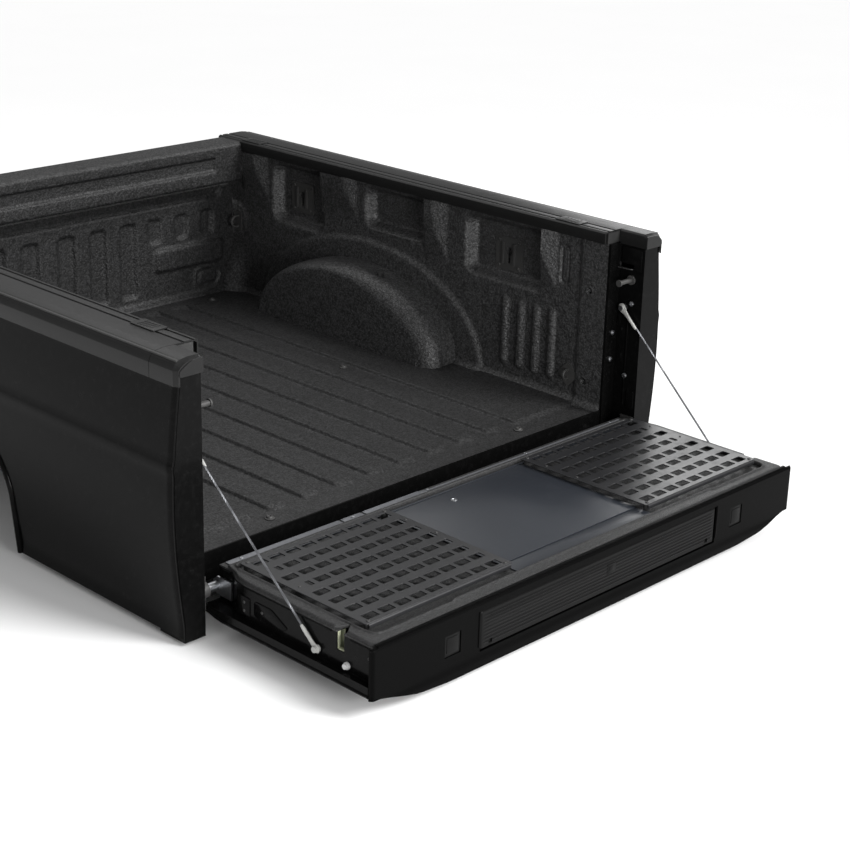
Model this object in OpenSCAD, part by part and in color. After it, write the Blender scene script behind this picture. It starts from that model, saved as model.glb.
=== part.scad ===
// Lined pickup bed with its tailgate let down.
// Bed frame: the floor's top is z = 0, its rear edge is y = 0, +Y runs to the cab.
// place() moves that frame so that the origin is the centre of the whole, on the ground.

/* [Bed] */
// Inside length of the bed at floor level
bed_length = 1706; // [1560:1:2480]
// Distance between the two side walls
bed_width = 1550; // [1470:1:1900]
// Depth from the top of the rails to the floor
bed_depth = 548; // [460:1:660]
// Distance between the two wheel arches
arch_gap = 1280; // [1180:1:1300]
// Centre of the wheel arches from the rear edge
arch_y = 1008; // [960:1:1030]
// Half the length of a wheel arch at the floor
arch_half = 425; // [360:1:440]
// Height of a wheel arch
arch_h = 247; // [200:1:290]
// Height of the raised lip on the wall around a wheel arch
arch_lip_h = 322; // [300:1:340]
// Depth of the cross sills under the floor
sill_h = 120; // [90:1:160]
// Thickness of the mounting pads under the sills
pad_h = 40; // [25:1:60]

/* [Liner] */
// Thickness of the floor liner
floor_t = 12; // [10:0.5:16]
// Depth of the floor's channels
channel_depth = 8; // [4:0.5:8.5]
// Width of a floor channel
channel_w = 60; // [40:1:80]
// Distance between floor channels
channel_pitch = 119; // [100:1:125]
// Thickness of the wall liner
wall_t = 8; // [5:0.5:12]
// How far the wall pockets sink outwards
pocket_depth = 40; // [20:1:44]
// How far the pillars stand out at their tops
pillar_depth = 30; // [15:1:30]
// Thickness of the front wall
front_t = 20; // [16:1:30]
// Depth of the recessed slots in the front wall
slot_depth = 12; // [6:0.5:14]
// Height of the front wall under the header
front_h = 407; // [380:1:420]
// How far the header box stands into the bed
header_depth = 88; // [60:1:120]

/* [Rails and posts] */
// Height of a rail cap
cap_h = 38; // [32:1:46]
// Thickness of a rail cap
cap_t = 4; // [3:0.5:6]
// Width of the tailgate opening
opening_w = 1532; // [1460:1:1540]
// Depth of a corner post behind the bed
post_depth = 95; // [90:1:110]

/* [Tailgate] */
// Length of the tailgate from hinge edge to top edge
gate_length = 578; // [560:1:620]
// Depth of the tailgate at its top edge
gate_depth = 152; // [145:1:158]
// Sheet thickness of the tailgate
sheet_t = 3; // [2:0.5:4]
// Height of the rim around the tailgate's recess
rim_h = 8; // [4:0.5:8]
// Diameter of a hinge trunnion
trunnion_d = 24; // [20:1:28]
// Diameter of a striker bolt
striker_d = 14; // [12:1:16]
// Diameter of a check cable
cable_d = 5.5; // [4:0.5:6.5]

/* [Slotted panels] */
// Width of a slotted panel
panel_w = 487; // [470:1:500]
// Length of a slotted panel
panel_l = 435; // [420:1:436]
// Sheet thickness of a slotted panel
panel_t = 3; // [2:0.5:4]
// Height of a slotted panel's face over the tailgate
panel_rise = 20; // [14:0.5:22]
// Columns of slots
slot_cols = 9; // [4:1:9]
// Rows of slots
slot_rows = 8; // [4:1:8]
// Width of a slot
slot_w = 38; // [24:0.5:40]
// Length of a slot
slot_l = 25.5; // [18:0.5:34]
// Distance between columns of slots
col_pitch = 51; // [44:0.5:52]
// Distance between rows of slots
row_pitch = 54; // [46:0.5:54]

/* [Step] */
// Half the width of the step's flap
flap_half = 455; // [430:1:470]
// How far the step's arms reach into the tailgate
arm_length = 400; // [380:1:440]
// Depth of the step's tread
tread_l = 290; // [200:1:300]

/* [Fasteners] */
// Diameter of the frame bolt holes
frame_hole_d = 13; // [11:0.5:17]
// Distance across the frame between bolt holes
frame_gap = 1010; // [900:1:1060]
// Diameter of a floor bolt's head
bolt_head_d = 26; // [22:1:30]
// Diameter of a small screw's head
screw_head_d = 11; // [9:0.5:12]

/* [Hidden] */
$fn = 40;
fit = 0.3;       // gap of a seated piece
running = 0.1;   // radial gap of a pin that turns in its bore
eps = 1;         // how far a cut runs past a face
sides = [-1, 1];

// Bed
half_w = bed_width / 2;
arch_x = arch_gap / 2;
arch_t = 6;
pan_t = 3;
under = floor_t + pan_t;
base = under + sill_h + pad_h;
wall_top = bed_depth - cap_h;
wall_end = bed_length + front_t;
channel_n = 2 * floor((half_w - channel_w) / channel_pitch - 2) + 1;
channel_start = 100;
channel_end = bed_length - 56;
channel_ramp = 24;     // length of the slope at each end of a channel
lip_half = arch_half + 105;
lip_proud = 5;
plug_hole_x = arch_x + 70;
plug_hole_dy = 120;    // how far a plug lies behind the arch's centre
plug_hole_d = 14;
sill_w = 90;
sill_t = 4;
sill_rows = [62, 430, arch_y - 202, arch_y + 202, bed_length - 81];
pad_w = 110;
short_sills = [false, false, true, true, false];
pad_rows = [0, 1, 3, 4];

// Wall pockets [rear y, front y, bottom z], pillars [rear y, front y]
wall_pockets = [[244, 576, 302], [743, 1029, 362], [1225, 1486, 290]];
pocket_top = wall_top - 20;
pillars = [[180, 228], [640, 735], [1060, 1200], [1500, 1610]];
pillar_foot = 310;
rib_rows = [205, 269, 331, 395];
rib_w = 31;
rib_z = [47, 264];
rib_proud = 7;
marker_y = [151, 187];
marker_z = [351, 468];
wall_holes_y = 66;
wall_holes_z = [72, 355];
tie_spots = [[423, 384], [1374, 382]];
tie_w = 110;
tie_h = 103;
tie_t = 4;
tie_screw_gap = 40;
tie_screw_d = 6;
keyhole_up = 8;
keyhole_d = 26;

// Outside
frame_out = half_w + 103;
cap_out = frame_out + 12;
cap_in = half_w - 30;
rebate_x = half_w + 40;
flange_t = 8;
rail_h = cap_h - cap_t;
rail_in = half_w - 15;
rail_t = 4;
cap_grooves = [34, 50, 66, 82];
groove_w = 5;
groove_depth = 1.5;
post_x = opening_w / 2;
post_t = 4;
front_end = wall_end + 14;
outer_t = 4;
bulge = 24;

// Tailgate
hinge_y = -75;
hinge_z = -55;
gate_y0 = -80;
gate_y1 = gate_y0 - gate_length;
gate_neck = opening_w / 2 - 9;
gate_half = rebate_x - 30;
skin_half = rebate_x - 9;
skin_z = -88;
skin_end_z = -116;
skin_flat = flap_half + 205;
inner_t = 4;
lap_l = 2;             // gap between the top cap and the faces behind it
gate_neck_y = -128;
gate_wide_y = -205;
cap_face_t = 10;
recess_y = [-122, gate_y1 + 58];
recess_half = gate_half - 37;

// Latch, striker and check cable, all in the planes beside the tailgate
striker_y = -52;
striker_z = 405;
mouth_y = hinge_y - (striker_z - hinge_z);
mouth_z = hinge_z + (striker_y - hinge_y);
mouth_w = striker_d + 10;
claw_x = gate_half - 18;
upper_x = rebate_x - 11;
lower_x = gate_half + 6;
stud_y = -32;
stud_z = 318;
stud_d = 10;
anchor_y = -461;
anchor_z = -68;

// Slotted panels
panel_y0 = -140;
panel_in = gate_half - 40 - panel_w;
panel_mid_x = panel_in + panel_w / 2;
panel_mid_y = panel_y0 - panel_l / 2;
spacer_d = 18;
corner_in_x = 16;
corner_in_y = 10;
panel_screw_d = 6;

// Step
guide_x = flap_half - 9;
guide_w = 4;
arm_w = 17;
arm_z = [-66, -34];
arm_y0 = gate_y1 + 18;
guide_y1 = arm_y0 + arm_length + 60;
slide_gap = 0.5;       // between an arm and its guide
flap_y = [gate_y1, gate_y1 + cap_face_t];
flap_z = [-117, -17];
flap_pivot_y = gate_y1 + 5;
flap_pivot_z = flap_z[0] + 6;
flap_ear_x = flap_half - 35;
flap_ear_w = 10;
grip_lines_z = [-94, -80, -38, -26];
pin_d = 8;
button_x = 22;
button_z = -57;
button_w = 34;
button_h = 28;

// Release handle and rods
handle_half = 80;
handle_y = [-460, -400];
handle_z = -131;
handle_t = 7;
bezel_half = 96;
bezel_y = [-475, -378];
bezel_z = -112;
rod_d = 8;
rod_y = -500;
rod_z = -98;

mid_y = (front_end + gate_y1) / 2;

function channel_x(i) = (i - (channel_n - 1) / 2) * channel_pitch;
function gate_bottom(y) = skin_z - (gate_depth + skin_z) * sin(90 * min(1, max(0, (gate_y0 - y + 60) / 420)));
function half_ellipse(a, b, drop, n = 40) = concat(
  [[a, -drop]], [for (i = [0:n]) [a * cos(180 * i / n), b * sin(180 * i / n)]], [[-a, -drop]]);

module place() translate([0, -mid_y, base]) children();
module sided(s) mirror([s < 0 ? 1 : 0, 0, 0]) children();
module both() for (s = sides) sided(s) children();
module span(a, b) translate(a) cube(b - a);
module along_x(x0, x1) translate([x0, 0, 0]) rotate([90, 0, 90]) linear_extrude(x1 - x0) children();
module along_y(y0, y1) translate([0, y1, 0]) rotate([90, 0, 0]) linear_extrude(y1 - y0) children();
module arch_outline(a, b, drop) translate([arch_y, 0]) polygon(half_ellipse(a, b, drop));
module rod_x(x0, x1, d) translate([x0, 0, 0]) rotate([0, 90, 0]) cylinder(h = x1 - x0, d = d);
module rounded(w, l, r) {
  square([w - 2 * r, l], center = true);
  square([w, l - 2 * r], center = true);
  for (i = sides, j = sides) translate([i * (w / 2 - r), j * (l / 2 - r)]) circle(r);
}

// ---- Floor ----

module floor_outline() difference() {
  translate([-half_w, 0]) square([bed_width, bed_length]);
  both() translate([arch_x, arch_y - arch_half]) square([half_w, 2 * arch_half]);
}

bolt_shank_d = 12;
floor_bolt_spots = [
  [channel_x(channel_n - 1), sill_rows[0], 0],
  [channel_x(channel_n - 1), sill_rows[2], -channel_depth],
  [channel_x(channel_n - 1) + channel_pitch * 1.14, sill_rows[4], 0]
];

module bolt_holes() both() for (p = floor_bolt_spots)
  translate([p[0], p[1], -under - 30]) cylinder(h = 60 + under, d = bolt_shank_d + 2 * fit);

module floor_liner() color("#2c2c2e") place() difference() {
  translate([0, 0, -floor_t]) linear_extrude(floor_t) floor_outline();
  for (i = [0:channel_n - 1]) along_x(channel_x(i) - channel_w / 2, channel_x(i) + channel_w / 2)
    polygon([[channel_start, eps], [channel_start, 0], [channel_start + channel_ramp, -channel_depth],
      [channel_end - channel_ramp, -channel_depth], [channel_end, 0], [channel_end, eps]]);
  bolt_holes();
}

module floor_pan() color("#3a3a3c") place() difference() {
  translate([0, 0, -under]) linear_extrude(pan_t) floor_outline();
  bolt_holes();
}

module rear_sill() color("#1b1b1d") place() {
  span([-post_x, -5, -under - 60], [post_x, 0, 0]);
  span([-post_x, 0, -under - 60], [post_x, 16, -under - 55]);
}

module cross_sills() color("#242426") place() difference() {
  for (i = [0:len(sill_rows) - 1]) {
    reach = short_sills[i] ? arch_x - 8 : half_w;
    difference() {
      span([-reach, sill_rows[i] - sill_w / 2, -under - sill_h], [reach, sill_rows[i] + sill_w / 2, -under]);
      span([-reach - eps, sill_rows[i] - sill_w / 2 + sill_t, -under - sill_h + sill_t],
        [reach + eps, sill_rows[i] + sill_w / 2 - sill_t, -under - sill_t]);
    }
  }
  bolt_holes();
  frame_holes();
}

module frame_holes() both() for (i = pad_rows)
  translate([frame_gap / 2, sill_rows[i], -base - eps])
    cylinder(h = pad_h + sill_t + 2 * eps, d = frame_hole_d);

module mount_pads() color("#161617") place() difference() {
  both() for (i = pad_rows)
    translate([frame_gap / 2, sill_rows[i], -base]) linear_extrude(pad_h) rounded(pad_w, sill_w, 12);
  frame_holes();
}

module floor_bolts() color("#3c3d40") place() both() for (p = floor_bolt_spots) translate(p) {
  cylinder(h = 2, d = bolt_head_d);
  cylinder(h = 7, d = bolt_head_d * 0.62);
  translate([0, 0, -under - 22]) cylinder(h = under + 22, d = bolt_shank_d);
}

// ---- Front wall ----

long_slots = [70, 196, 320];
long_slot_w = 68;
short_slots = [430, 545, 660];
short_slot_w = 58;
slot_top = 305;
step_z = 369;
front_pad_x = [425, 727];
front_pad_z = [110, 196];
port_x = 657;
port_z = 60;

module front_slot(x, w, z0) translate([x, 0, 0])
  span([-w / 2, bed_length - eps, z0], [w / 2, bed_length + slot_depth, slot_top]);

module front_wall_liner() color("#29292b") place() difference() {
  union() {
    span([-half_w, bed_length, -under], [half_w, wall_end, front_h]);
    both() {
      span([front_pad_x[0], bed_length - 10, front_pad_z[0]],
        [min(front_pad_x[1], half_w - 40), bed_length, front_pad_z[1]]);
      translate([port_x, bed_length, port_z]) rotate([90, 0, 0]) linear_extrude(5) rounded(126, 85, 30);
    }
  }
  both() {
    for (x = long_slots) front_slot(x, long_slot_w, 42);
    for (x = short_slots) front_slot(x, short_slot_w, 215);
  }
  span([-half_w - eps, bed_length - eps, step_z], [half_w + eps, bed_length + 10, front_h + eps]);
}

header_t = 4;
header_face_t = 14;
header_slot_x = 634;
header_slot_z = [458, 501];

module front_header() color("#2a2a2c") place() difference() {
  span([-cap_in, bed_length - header_depth, front_h], [cap_in, wall_end, bed_depth - cap_t]);
  span([-cap_in - eps, bed_length - header_depth + header_face_t, front_h + header_t],
    [cap_in + eps, wall_end - header_t, bed_depth - cap_t - header_t]);
  span([-header_slot_x, bed_length - header_depth - eps, header_slot_z[0]],
    [header_slot_x, bed_length - header_depth + 9, header_slot_z[1]]);
}

// ---- Side walls ----

module pocket_tub(p, grow) span([half_w - (grow > 0 ? 0 : eps), p[0] - grow, p[2] - grow],
  [half_w + pocket_depth + grow, p[1] + grow, pocket_top + grow]);

module side_liner(s) color("#28282a") place() sided(s) difference() {
  union() {
    difference() {
      span([half_w, 0, -under], [half_w + wall_t, wall_end, wall_top]);
      along_x(half_w - eps, half_w + wall_t + eps)
        arch_outline(arch_half - arch_t, arch_h - arch_t, under + eps);
    }
    for (p = wall_pockets) pocket_tub(p, wall_t);
    for (p = pillars) along_y(p[0], p[1]) polygon([[half_w, wall_top], [half_w - pillar_depth, wall_top],
      [half_w - pillar_depth, wall_top - 40], [half_w, pillar_foot]]);
    for (y = rib_rows)
      span([half_w - rib_proud, y - rib_w / 2, rib_z[0]], [half_w, y + rib_w / 2, rib_z[1]]);
    along_x(half_w - lip_proud, half_w) difference() {
      arch_outline(lip_half, arch_lip_h, 0);
      arch_outline(arch_half + arch_t, arch_h + arch_t, eps);
      translate([0, -2 * eps]) square([3 * bed_length, 4 * eps], center = true);
    }
  }
  for (p = wall_pockets) pocket_tub(p, 0);
  span([half_w - eps, marker_y[0], marker_z[0]], [half_w + 5, marker_y[1], marker_z[1]]);
  for (z = wall_holes_z) translate([half_w - eps, wall_holes_y, z]) rod_x(0, wall_t + 2 * eps, 18);
  for (t = tie_spots) translate([half_w + pocket_depth - eps, t[0], t[1]]) {
    translate([0, 0, keyhole_up]) rod_x(0, wall_t + 2 * eps, keyhole_d + 10);
    for (i = sides, j = sides) translate([0, i * tie_screw_gap, j * tie_screw_gap])
      rod_x(0, wall_t + 2 * eps, tie_screw_d + 2 * fit);
  }
}

module wheel_arch_liner(s) color("#2a2a2c") place() sided(s) difference() {
  along_x(arch_x, half_w) arch_outline(arch_half, arch_h, under);
  along_x(arch_x + arch_t, half_w + eps) arch_outline(arch_half - arch_t, arch_h - arch_t, under + eps);
  translate([plug_hole_x, arch_y - plug_hole_dy, arch_h - 40]) cylinder(h = 80, d = plug_hole_d);
}

module arch_plugs() color("#1a1a1b") place() both() translate([plug_hole_x, arch_y - plug_hole_dy, 0]) {
  z = arch_h * sqrt(1 - pow(plug_hole_dy / arch_half, 2));
  translate([0, 0, z - 30]) cylinder(h = 36, d = plug_hole_d - 2 * fit);
  translate([0, 0, z + 5.2]) cylinder(h = 4, d = 26);
}

module side_frame(s) color("#1f1f21") place() sided(s) {
  difference() {
    union() {
      span([rail_in, 0, wall_top], [frame_out, front_end - 6, wall_top + rail_h]);
      span([rebate_x, -post_depth + 8, wall_top], [frame_out, 0, wall_top + rail_h]);
    }
    span([rail_in + rail_t, rail_t, wall_top + rail_t],
      [frame_out - rail_t, front_end + eps, wall_top + rail_h - rail_t]);
  }
  for (y = [70, 500, arch_y + 490, wall_end - 50])
    span([half_w + 55, y, -under - 50], [frame_out, y + 46, wall_top]);
  for (y = [[0, arch_y - arch_half], [arch_y + arch_half, wall_end]])
    span([half_w, y[0], -under - 60], [frame_out, y[1], -under]);
  along_x(half_w + wall_t, frame_out) difference() {
    arch_outline(arch_half, arch_h, under + 60);
    arch_outline(arch_half - arch_t, arch_h - arch_t, under + 60 + eps);
  }
}

module rail_cap(s) color("#3b3b3e") place() sided(s) difference() {
  union() {
    span([cap_in, 0, wall_top], [cap_out, front_end, bed_depth]);
    span([rebate_x - 2, -post_depth - 5, wall_top], [cap_out, 0, bed_depth]);
    span([frame_out + outer_t + fit, -post_depth - 5, wall_top - 26], [cap_out, front_end, bed_depth]);
  }
  span([rail_in, -eps, wall_top - 30], [frame_out + outer_t + fit, front_end - 6, wall_top + rail_h]);
  span([rebate_x, -post_depth, wall_top - 30], [frame_out + outer_t + fit, eps, wall_top + rail_h]);
  span([cap_in - eps, bed_length - header_depth - fit, wall_top - eps],
    [rail_in + eps, front_end + eps, bed_depth - cap_t]);
  for (x = cap_grooves) span([half_w + x, -post_depth - 5 - eps, bed_depth - groove_depth],
    [half_w + x + groove_w, front_end + eps, bed_depth + eps]);
}

module stake_pocket_covers() color("#303033") place() both() for (y = [150, bed_length - 130])
  translate([half_w - 2, y, bed_depth]) linear_extrude(3) rounded(46, 92, 6);

module post_profile(in) polygon([[rebate_x + in, -post_depth + in], [frame_out - in, -post_depth + in],
  [frame_out - in, -in], [rebate_x + in, -in]]);

module corner_post(s) color("#0c0c0d") place() sided(s) difference() {
  union() {
    translate([0, 0, -base + 10]) linear_extrude(wall_top + base - 10) post_profile(0);
    span([post_x, -flange_t, -under - 60], [rebate_x, 0, wall_top]);
  }
  translate([0, 0, -base]) linear_extrude(wall_top + base - post_t) post_profile(post_t);
  for (p = [[striker_y, striker_z, striker_d], [stud_y, stud_z, stud_d], [hinge_y, hinge_z, trunnion_d]])
    translate([rebate_x - eps, p[0], p[1]]) rod_x(0, post_t + 1 + 2 * eps, p[2] + 2 * fit);
  for (p = post_bolt_spots) translate([rebate_x - eps, p[0], p[1]])
    rod_x(0, post_t + 1 + 2 * eps, post_bolt_d + 2 * fit);
  for (p = flange_bolt_spots) translate([p[0], -flange_t - eps, p[1]]) rotate(90)
    rod_x(0, flange_t - 1, post_bolt_d + 2 * fit);
}

outer_top = wall_top - 30;
outer_foot = -base + 20;

function panel_curve(x0, n = 14) = [for (i = [0:n])
  [x0 + bulge * sin(180 * min(1, i / n * 1.05)), outer_top - i / n * (outer_top - outer_foot)]];

module outer_panel(s) color("#0b0b0c") place() sided(s) difference() {
  union() {
    along_y(-post_depth, front_end - 8) difference() {
      polygon(concat([[frame_out, wall_top + rail_h - 2], [frame_out + outer_t, wall_top + rail_h - 2]],
        panel_curve(frame_out + outer_t), [[frame_out, outer_foot]]));
      polygon(concat([[frame_out, outer_top + eps]], panel_curve(frame_out),
        [[frame_out - eps, outer_foot - eps]]));
    }
    for (y = [-post_depth, front_end - 8 - outer_t]) along_y(y, y + outer_t)
      polygon(concat([[frame_out, outer_top]], panel_curve(frame_out + outer_t), [[frame_out, outer_foot]]));
  }
  along_x(frame_out - eps, frame_out + 60) arch_outline(arch_half - arch_t, arch_h - arch_t, base);
}

// ---- Tie-downs and small hardware on the bed ----

module keyhole(t) {
  translate([0, keyhole_up, 0]) cylinder(h = t, d = keyhole_d);
  span([-6, -30, 0], [6, keyhole_up, t]);
}

module tie_down_plates() color("#1d1d1f") place() both() for (t = tie_spots)
  translate([half_w + pocket_depth, t[0], t[1]]) rotate([90, 0, -90]) difference() {
    union() {
      linear_extrude(tie_t) rounded(tie_w, tie_h, 6);
      for (x = [-26, 20]) span([x, -34, tie_t], [x + 6, 34, tie_t + 6]);
    }
    translate([0, 0, -eps]) keyhole(tie_t + 2 * eps);
    for (i = sides, j = sides) translate([i * tie_screw_gap, j * tie_screw_gap, -eps])
      cylinder(h = tie_t + 2 * eps, d = tie_screw_d + 2 * fit);
  }

module tie_plate_screws() color("#8f9296") place() both() for (t = tie_spots, i = sides, j = sides)
  translate([half_w + pocket_depth - tie_t, t[0] + i * tie_screw_gap, t[1] + j * tie_screw_gap])
    rotate([0, -90, 0]) {
      cylinder(h = 4, d = screw_head_d);
      translate([0, 0, -tie_t - wall_t]) cylinder(h = tie_t + wall_t, d = tie_screw_d);
    }

loop_d = 8;

module wire_loop(d, w, l) {
  for (i = sides) translate([i * w / 2, 0, 0]) cylinder(h = l, d = d);
  translate([0, 0, l]) rotate([90, 0, 0]) rotate_extrude(angle = 180) translate([w / 2, 0]) circle(d = d);
}

module on_wall(y, z) both() translate([half_w, y, z]) rotate([0, -90, 0]) children();

module front_tie_loops() color("#9a9da1") place() on_wall(bed_length - 36, 250) {
  wire_loop(loop_d, 38, 14);
  linear_extrude(3) rounded(70, 34, 6);
}

module rear_tie_downs() color("#3c3d40") place() on_wall(133, 78) {
  wire_loop(loop_d, 28, 10);
  rotate(45) linear_extrude(4) rounded(56, 56, 8);
}

post_bolt_spots = [[-58, 334], [-49, 111]];
flange_bolt_spots = [[794, 239], [790, 158]];
post_bolt_d = 8;

module strikers() color("#4a4b4e") place() both() translate([0, striker_y, striker_z]) {
  rod_x(claw_x - 8, rebate_x + 30, striker_d);
  rod_x(claw_x - 12, claw_x - 8, striker_d + 6);
  rod_x(rebate_x - 6, rebate_x, striker_d + 14);
}

module cable_studs() color("#9b9ea3") place() both() translate([0, stud_y, stud_z]) {
  rod_x(rebate_x - 4, rebate_x, 22);
  rod_x(upper_x - 5, rebate_x + 16, stud_d);
  rod_x(upper_x - 8, upper_x - 5, 15);
}

module post_bolt(head_d, shank_l) {
  rod_x(-5, 0, head_d);
  rod_x(0, shank_l, post_bolt_d);
}

module post_bolts() color("#8b8e92") place() both() {
  for (p = post_bolt_spots) translate([rebate_x, p[0], p[1]]) post_bolt(15, 14);
  for (p = flange_bolt_spots) translate([p[0], -flange_t, p[1]]) rotate(90) post_bolt(12, flange_t - 2);
}

module hinge_cups() color("#2a2b2d") place() both() difference() {
  union() {
    translate([0, hinge_y, hinge_z]) rod_x(rebate_x - 18, rebate_x, trunnion_d + 16);
    span([rebate_x - 5, hinge_y - 16, hinge_z - 44], [rebate_x, hinge_y + 30, hinge_z + 44]);
  }
  translate([0, hinge_y, hinge_z]) rod_x(rebate_x - 18 - eps, rebate_x + eps, trunnion_d + 2 * running);
}

// ---- Tailgate body ----

// Right edge of the tailgate in plan, drawn in by some amount, from the hinge edge to the top edge
function gate_edge(in, y0, y1) = [[gate_neck - in, y0], [gate_neck - in, gate_neck_y],
  [gate_half - in - 8, gate_wide_y + 38], [gate_half - in, gate_wide_y], [gate_half - in, y1]];

module gate_plan(in, y0, y1) {
  edge = gate_edge(in, y0, y1);
  polygon(concat(edge, [for (i = [len(edge) - 1:-1:0]) [-edge[i][0], edge[i][1]]]));
}

module skin_side(up, n = 16) polygon(concat([[gate_y0 - up, skin_z - up]],
  [for (i = [0:n]) let (y = gate_y0 - up - i / n * (gate_length - up)) [y, gate_bottom(y) + up]],
  [[gate_y1 - (up > 0 ? eps : 0), skin_z - up]]));

module skin_front(up) polygon([[-skin_half + up, eps], [-skin_half + up, skin_end_z + up],
  [-skin_flat, -gate_depth + up], [skin_flat, -gate_depth + up],
  [skin_half - up, skin_end_z + up], [skin_half - up, eps]]);

module mouth_cut(z0, z1)
  span([claw_x - 14, mouth_y - mouth_w / 2, z0], [gate_half + eps, mouth_y + mouth_w / 2, z1]);

module tailgate_shell() color("#0d0d0e") place() difference() {
  union() {
    intersection() {
      along_x(-skin_half, skin_half) skin_side(0);
      along_y(gate_y1 - eps, 0) skin_front(0);
    }
    translate([0, 0, skin_z - sheet_t]) linear_extrude(-skin_z + sheet_t - inner_t)
      gate_plan(0, gate_y0, gate_y1 + cap_face_t + lap_l);
  }
  intersection() {
    along_x(-skin_half + sheet_t, skin_half - sheet_t) skin_side(sheet_t);
    along_y(gate_y1 - 2 * eps, 0) skin_front(sheet_t);
  }
  translate([0, 0, skin_z - 2 * sheet_t]) linear_extrude(-skin_z + 2 * sheet_t)
    gate_plan(sheet_t, gate_y0 - sheet_t, gate_y1 - eps);
  span([-skin_half - eps, gate_y1 - eps, -gate_depth - eps],
    [skin_half + eps, gate_y1 + cap_face_t + lap_l, eps]);
  both() mouth_cut(mouth_z - mouth_w / 2 - 3, eps);
  span([-bezel_half, bezel_y[0], -gate_depth - eps], [bezel_half, bezel_y[1], -gate_depth + 3 * sheet_t]);
}

module tailgate_inner_panel() color("#232325") place() difference() {
  translate([0, 0, -inner_t]) linear_extrude(inner_t) gate_plan(0, gate_y0, gate_y1 + cap_face_t + lap_l);
  both() mouth_cut(-inner_t - eps, eps);
}

module tailgate_rim() color("#2d2d30") place() difference() {
  linear_extrude(rim_h) difference() {
    gate_plan(2, -106, gate_y1 + cap_face_t + 8);
    translate([0, (recess_y[0] + recess_y[1]) / 2]) rounded(2 * recess_half, recess_y[0] - recess_y[1], 24);
  }
  both() mouth_cut(-eps, rim_h + eps);
}

plug_x = 549;
plug_w = 52;
plug_z = [-95, -40];

module cap_outline() polygon([[-skin_half, -2], [-skin_half, skin_end_z], [-skin_flat, -gate_depth],
  [skin_flat, -gate_depth], [skin_half, skin_end_z], [skin_half, -2]]);

module tailgate_top_cap() color("#1c1c1e") place() difference() {
  union() {
    along_y(gate_y1, gate_y1 + cap_face_t) cap_outline();
    span([-gate_half + 2, gate_y1, -2], [gate_half - 2, gate_y1 + cap_face_t, 6]);
    span([-gate_half + 2, gate_y1 + 6, 0.3], [gate_half - 2, gate_y1 + cap_face_t + 7, 6]);
  }
  span([-flap_half - 2, gate_y1 - eps, flap_z[0] - 2],
    [flap_half + 2, gate_y1 + cap_face_t + eps, flap_z[1] + 2]);
  both() span([plug_x - plug_w / 2, gate_y1 - eps, plug_z[0]],
    [plug_x + plug_w / 2, gate_y1 + cap_face_t + eps, plug_z[1]]);
}

module cap_plugs() color("#171718") place() both()
  span([plug_x - plug_w / 2 + fit, gate_y1 + 1, plug_z[0] + fit],
    [plug_x + plug_w / 2 - fit, gate_y1 + cap_face_t, plug_z[1] - fit]);

module centre_plate() color("#3e434c") place() translate([0, (recess_y[0] + recess_y[1]) / 2 + 20, 0])
  linear_extrude(4) difference() {
    rounded(2 * panel_in + 12, 400, 8);
    translate([-60, 150]) circle(d = 12);
  }

module slotted_panel(s) color("#19191b") place() sided(s) difference() {
  translate([0, 0, panel_rise - panel_t]) linear_extrude(panel_t)
    translate([panel_mid_x, panel_mid_y]) rounded(panel_w, panel_l, 6);
  translate([panel_mid_x - (slot_cols - 1) / 2 * col_pitch, panel_mid_y - (slot_rows - 1) / 2 * row_pitch, 0])
    for (i = [0:slot_cols - 1], j = [0:slot_rows - 1]) translate([i * col_pitch, j * row_pitch, 0])
      span([-slot_w / 2, -slot_l / 2, 0], [slot_w / 2, slot_l / 2, panel_rise + eps]);
  at_corners() cylinder(h = panel_rise + eps, d = panel_screw_d + 2 * fit);
}

module at_corners() for (i = sides, j = sides)
  translate([panel_mid_x + i * (panel_w / 2 - corner_in_x), panel_mid_y + j * (panel_l / 2 - corner_in_y), 0])
    children();

module panel_spacers() color("#26262a") place() both() at_corners() difference() {
  cylinder(h = panel_rise - panel_t, d = spacer_d);
  translate([0, 0, -eps]) cylinder(h = panel_rise, d = panel_screw_d + 2 * fit);
}

module panel_screws() color("#6f7276") place() both() at_corners() {
  translate([0, 0, panel_rise]) cylinder(h = 3, d = screw_head_d);
  translate([0, 0, 1]) cylinder(h = panel_rise - 1, d = panel_screw_d);
}

strip_y = [-104, -83];
strip_mid_y = (strip_y[0] + strip_y[1]) / 2;
strip_t = 3;
strip_breaks = [[-gate_neck + 14, -372], [-366, -296], [-290, gate_neck - 14]];
trim_screw_x = [-700, -331, -60, 330, 700];
trim_screw_d = 5;

module edge_trim_strip() color("#8f949a") place() difference() {
  for (b = strip_breaks) span([b[0], strip_y[0], 0], [b[1], strip_y[1], strip_t]);
  for (x = trim_screw_x) translate([x, strip_mid_y, -eps])
    cylinder(h = strip_t + 2 * eps, d = trim_screw_d + 2 * fit);
}

module trim_screws() color("#a5a8ac") place() for (x = trim_screw_x) translate([x, strip_mid_y, 0]) {
  cylinder(h = strip_t, d = trim_screw_d);
  translate([0, 0, strip_t]) cylinder(h = 2.5, d = 9);
}

// ---- Latches, hinges and cable ends on the tailgate ----

claw_pivot = [mouth_y - 26, mouth_z - 12];
claw_t = 7;
claw_hub_d = 18;
claw_arm = 36;
claw_pin_d = 8;
latch_floor_z = mouth_z - mouth_w / 2 - 14;

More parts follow.
